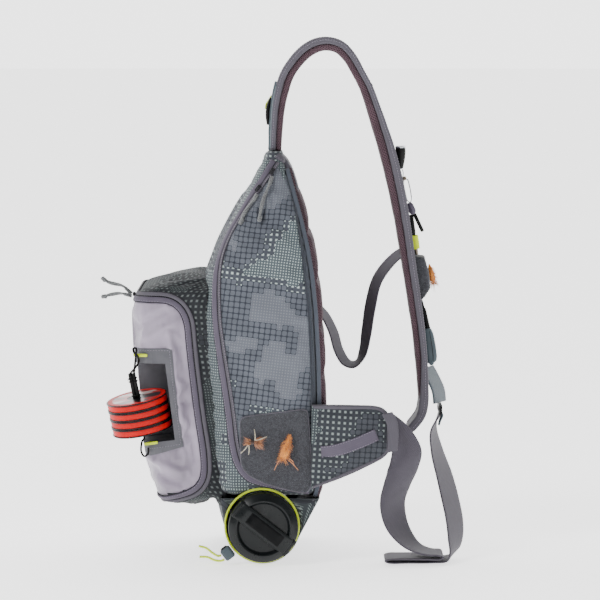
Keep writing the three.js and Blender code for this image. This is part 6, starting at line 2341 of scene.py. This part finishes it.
def add_strap_patch():
    def proud(share):
        return float(np.interp(share, STRAP_PATCH_ROWS[:, 0], STRAP_PATCH_ROWS[:, 1])) * 17.5 * MM

    def low(share):
        return strap_deep(share) / 2 + 0.2 * MM

    def high(share):
        return low(share) + proud(share)

    pad = strap_layer(
        "strap_fly_foam", 0.672, 0.755, low, high, lambda s: 21 * MM, 90, 0.8 * MM, 3 * MM
    )
    reshape(pad, lambda p, n: n * 0.5 * MM * wobble(p, 420, 3))
    dress(pad, "foam", "strap_fly_patch", material=cloth["foam"])
    rng = np.random.default_rng(8)
    roots, tips = [], []
    for _ in range(1100):
        share = rng.uniform(0.674, 0.75)
        y = rng.choice((-21, 21)) * MM if rng.random() < 0.45 else rng.uniform(-20, 20) * MM
        rise = strap_deep(share) / 2 + proud(share)
        middle, along, out = strap_at(share)
        if abs(y) > 20.5 * MM:
            rise *= rng.uniform(0.2, 0.95)
            lead = np.array((0, math.copysign(1, y), 0))
        else:
            lead = out
        root = middle + out * rise + np.array((0, y, 0))
        roots.append(root)
        tips.append(root + lead * rng.uniform(0.4, 1.1) * MM + along * rng.normal(0, 0.7) * MM)
    fuzz = hairs("strap_fly_fuzz", roots, tips, 0.24 * MM)
    dress(fuzz, "foam", material=cloth["foam_edge"])


def add_forceps():
    rows = [(0, 0.9), (0.1, 1.2), (0.25, 1.5), (0.32, 2.6), (0.4, 2.9), (1, 3.4)]
    ends = ((0.7565, 4.6), (0.8105, 7.2))
    strap_tool("forceps_stem", "black_plastic", "black", *ends, rows, 18, ["forceps_shaft"])

    def low(share):
        return strap_deep(share) / 2 + float(np.interp(share, FORCEPS_RINGS[:, 0], FORCEPS_RINGS[:, 1])) * MM

    def high(share):
        return strap_deep(share) / 2 + float(np.interp(share, FORCEPS_RINGS[:, 0], FORCEPS_RINGS[:, 2])) * MM

    def slot_low(share):
        return high(share) * 0.62 + low(share) * 0.38

    def slot_high(share):
        return high(share) * 0.68 + low(share) * 0.32

    grip = strap_layer("forceps_grip", 0.8095, 0.8735, low, high, lambda s: 6 * MM, 50, 0, 4.6 * MM)
    dress(grip, "grey_grip", "forceps_handle", material=hard["grey"])
    slot = strap_layer(
        "forceps_grip_slot", 0.814, 0.87, slot_low, slot_high, lambda s: 6.15 * MM, 30, 0, 0.4 * MM
    )
    dress(slot, "black_plastic", material=hard["black"])
    start, stop = on_strap(0.869, 7.4 * MM), on_strap(0.8785, 8.0 * MM)
    rows = in_mm([(0, 3.2), (3, 3.4), (5, 2.8), (6.2, 1.2)])
    knob = turned("forceps_knob", start, stop - start, rows, 18)
    dress(knob, "grey_grip", material=hard["grey"])


def add_lock():
    tree = tree_of("lock_tab")
    low, high = box_of("lock_tab")
    levels = np.linspace(high[2] - 0.8 * MM, low[2] + 0.6 * MM, 40)
    centres = []
    for z in levels:
        hit, _ = cast(tree, (0.4, 0, z), (-1, 0, 0))
        centres.append((hit[0] - 1 * MM, 0, z) if hit is not None else centres[-1])
    centres = softened(np.array(centres), 4)
    yaw = math.radians(25)
    across = np.array((math.sin(yaw), math.cos(yaw), 0))
    ups = unit(np.cross(directions(centres), across))
    ups = ups if ups[20, 0] > 0 else -ups
    tab = sweep("lock_tab_cloth", centres, across, ups, rounded_section(38 * MM, 2.6 * MM, 1 * MM))
    dress(tab, "check_fabric", "lock_tab", material=cloth["tab"])
    for side in (-1, 1):
        points = centres + across * side * 16 * MM + ups * 1.5 * MM
        sew(f"lock_tab_stitches_{side + 2}", points[3:-3], ups)
    finish_node("ladder_lock", hard["black"], 0.9 * MM)
    middle = np.mean(box_of("ladder_lock"), axis=0)
    drop = ((0.001, -0.004), (0.003, -0.009), (0.0005, -0.016), (-0.001, -0.022))
    lever = [middle + (x, 0, z) for x, z in drop]
    line = even(smooth_line(lever, 8), 24)
    ups = unit(np.cross(directions(line), (0, 1, 0)))
    scale = np.stack([np.linspace(1, 0.45, 24), np.linspace(1, 0.8, 24)], axis=1)
    section = rounded_section(24 * MM, 2.6 * MM, 1.1 * MM)
    tongue = sweep("ladder_lock_tongue", line, (0, 1, 0), ups, section, scale=scale)
    dress(tongue, "grey_grip", material=hard["grey"])


# Zip sliders and their pulls, and the drawcord's tails
CORD_ROUTES = {
    "pull_main_1": [
        (-66.6, -60.8, -154.9),
        (-68.5, -66, -162),
        (-73.5, -73.4, -177),
        (-78, -82.3, -193),
        (-81.5, -88.2, -206),
    ],
    "pull_main_2": [
        (-84.6, -71.6, -175.8),
        (-89, -73, -184),
        (-94.5, -75.5, -193),
        (-100, -78, -202),
        (-104.5, -80.5, -210),
    ],
    "pull_pocket_1": [
        (-238, -61.5, -298.4),
        (-243, -61, -294),
        (-250, -60.5, -289.5),
        (-259, -60.5, -288),
        (-267, -61, -285.5),
        (-273, -61, -280),
    ],
    "pull_pocket_2": [
        (-237.8, -66, -300.6),
        (-244, -66.2, -299.2),
        (-252, -66.5, -298.6),
        (-260, -67, -300),
        (-267, -67, -301),
        (-273, -67, -301.5),
    ],
    "tail_1": [
        (-127.5, -117, -615.4),
        (-131.5, -117, -616),
        (-138, -116.5, -612.5),
        (-146, -116, -606.5),
        (-155, -116, -604),
    ],
    "tail_2": [
        (-123.5, -120.5, -619.8),
        (-128, -120.5, -621.5),
        (-136, -120.5, -620.5),
        (-144, -120.5, -617),
        (-154, -120.5, -616.5),
    ],
}
CORD_DIAMETER = 3 * MM


def add_pull_twin(name, route):
    """The second strand of a doubled pull, twisted round the first, and the knot that ends both."""
    along = directions(route)
    side = unit(np.cross(along, (0, 1, 0)))
    turn = np.linspace(0, 1.6 * math.pi, len(route))[:, None]
    strand = route + (side * np.cos(turn) + np.cross(along, side) * np.sin(turn)) * 2.0 * MM
    twin = tube(f"{name}_twin", strand, 1.2 * MM, 10)
    knots = []
    for number, (share, radius) in enumerate(((1.0, 2.8), (0.12, 2.3)), 1):
        place = int(share * (len(route) - 1))
        ahead = along[place]
        middle = route[place] + side[0] * 0.8 * MM
        neck = 0.8 * radius
        waist = 0.86 * radius
        lump = [(0, 1.6), (0.12, neck + 0.4), (0.35, radius), (0.55, waist), (0.72, radius), (0.9, neck), (1, 1.2)]
        rows = [(7.5 * MM * share_along, r * MM) for share_along, r in lump]
        knots.append(turned(f"{name}_lump_{number}", middle - ahead * 5 * MM * share, ahead, rows, 14))
    knot = joined(f"{name}_knot", *knots)
    reshape(knot, lambda p, n: n * 0.35 * MM * wobble(p, 600, 3))
    for piece in (twin, knot):
        dress(piece, "black_plastic", material=hard["pull"])
    return [twin, knot]


def add_cords():
    for name, rows in CORD_ROUTES.items():
        pull = name.startswith("pull")
        route = even(smooth_line(np.array(rows) * MM, 12), 32)
        cord = tube(f"{name}_cord", route, CORD_DIAMETER / 2, 12)
        if pull:
            dress(cord, "black_plastic", name, material=hard["pull"])
        else:
            dress(cord, "lime_fabric", name, material=hard["lime_cord"])
        pieces = add_pull_twin(name, route) if pull else []


def add_sliders():
    out = np.array((0, -1, 0))
    for name in ("slider_main_1", "slider_main_2"):
        low, high = box_of(name)
        middle = (low + high) / 2
        nearest = int(np.argmin(np.hypot(zip_middle[:, 0] - middle[0], zip_middle[:, 1] - middle[2])))
        ahead = unit(zip_middle[min(nearest + 4, len(zip_middle) - 1)] - zip_middle[max(nearest - 4, 0)])
        along = np.array((ahead[0], 0, ahead[1]))
        axes = (along, np.cross(out, along), out)
        size = np.array((9.4, 5.2, 3.6)) * MM
        body = rotated_box(f"{name}_body", middle, size, axes, 5, 1.3 * MM)
        dress(body, "black_plastic", name, material=hard["slider"])
        bail = [
            middle + along * 3.2 * math.cos(t) * MM + out * (1.4 + 2.2 * math.sin(t)) * MM
            for t in np.linspace(-0.3, math.pi + 0.3, 16)
        ]
        dress(tube(f"{name}_bail", bail, 0.7 * MM, 8), "black_plastic", material=hard["slider"])
    low, high = box_of("slider_pocket")
    size = (high - low) * (1.05, 1.03, 1.05)
    body = rotated_box("slider_pocket_body", (low + high) / 2, size, np.eye(3), 5, 1.2 * MM)
    dress(body, "black_plastic", "slider_pocket", material=hard["slider"])


def add_tabs():
    places = (("tab_upper", (-0.003, 0, -0.0025), 2), ("tab_lower", (-0.001, 0, 0.002), -8))
    for name, shift, degrees in places:
        low, high = box_of(name)
        turn = math.radians(degrees)
        axes = ((math.cos(turn), 0, -math.sin(turn)), (0, 1, 0), (math.sin(turn), 0, math.cos(turn)))
        size = np.array((17, 2.4, 3.8)) * MM
        tab = rotated_box(f"{name}_tape", (low + high) / 2 + shift, size, axes, 6, 0.9 * MM)
        dress(tab, "lime_fabric", name, material=hard["lime"])


# Assembly
add_camera()
add_cords()
add_studio()
bag = add_bag_skins()
add_main_zip(bag)
add_panel_seams(bag)
add_apex_band(bag)
add_back_panel()
pocket = add_pocket_skins()
add_pocket_zip(pocket)
add_shoulder_strap()
add_strap_anchor()
add_webbing()
add_waist_wing()
add_wing_flap()
add_fly_patch()
add_fly_1()
add_fly_2()
add_fly_3()
add_tippet_patch()
add_spools()
add_tippet_bar()
add_tabs()
add_sleeve()
add_bottle()
add_cord_lock()
add_retractor()
add_snap()
add_lower_tools()
add_strap_patch()
add_forceps()
add_lock()
add_sliders()
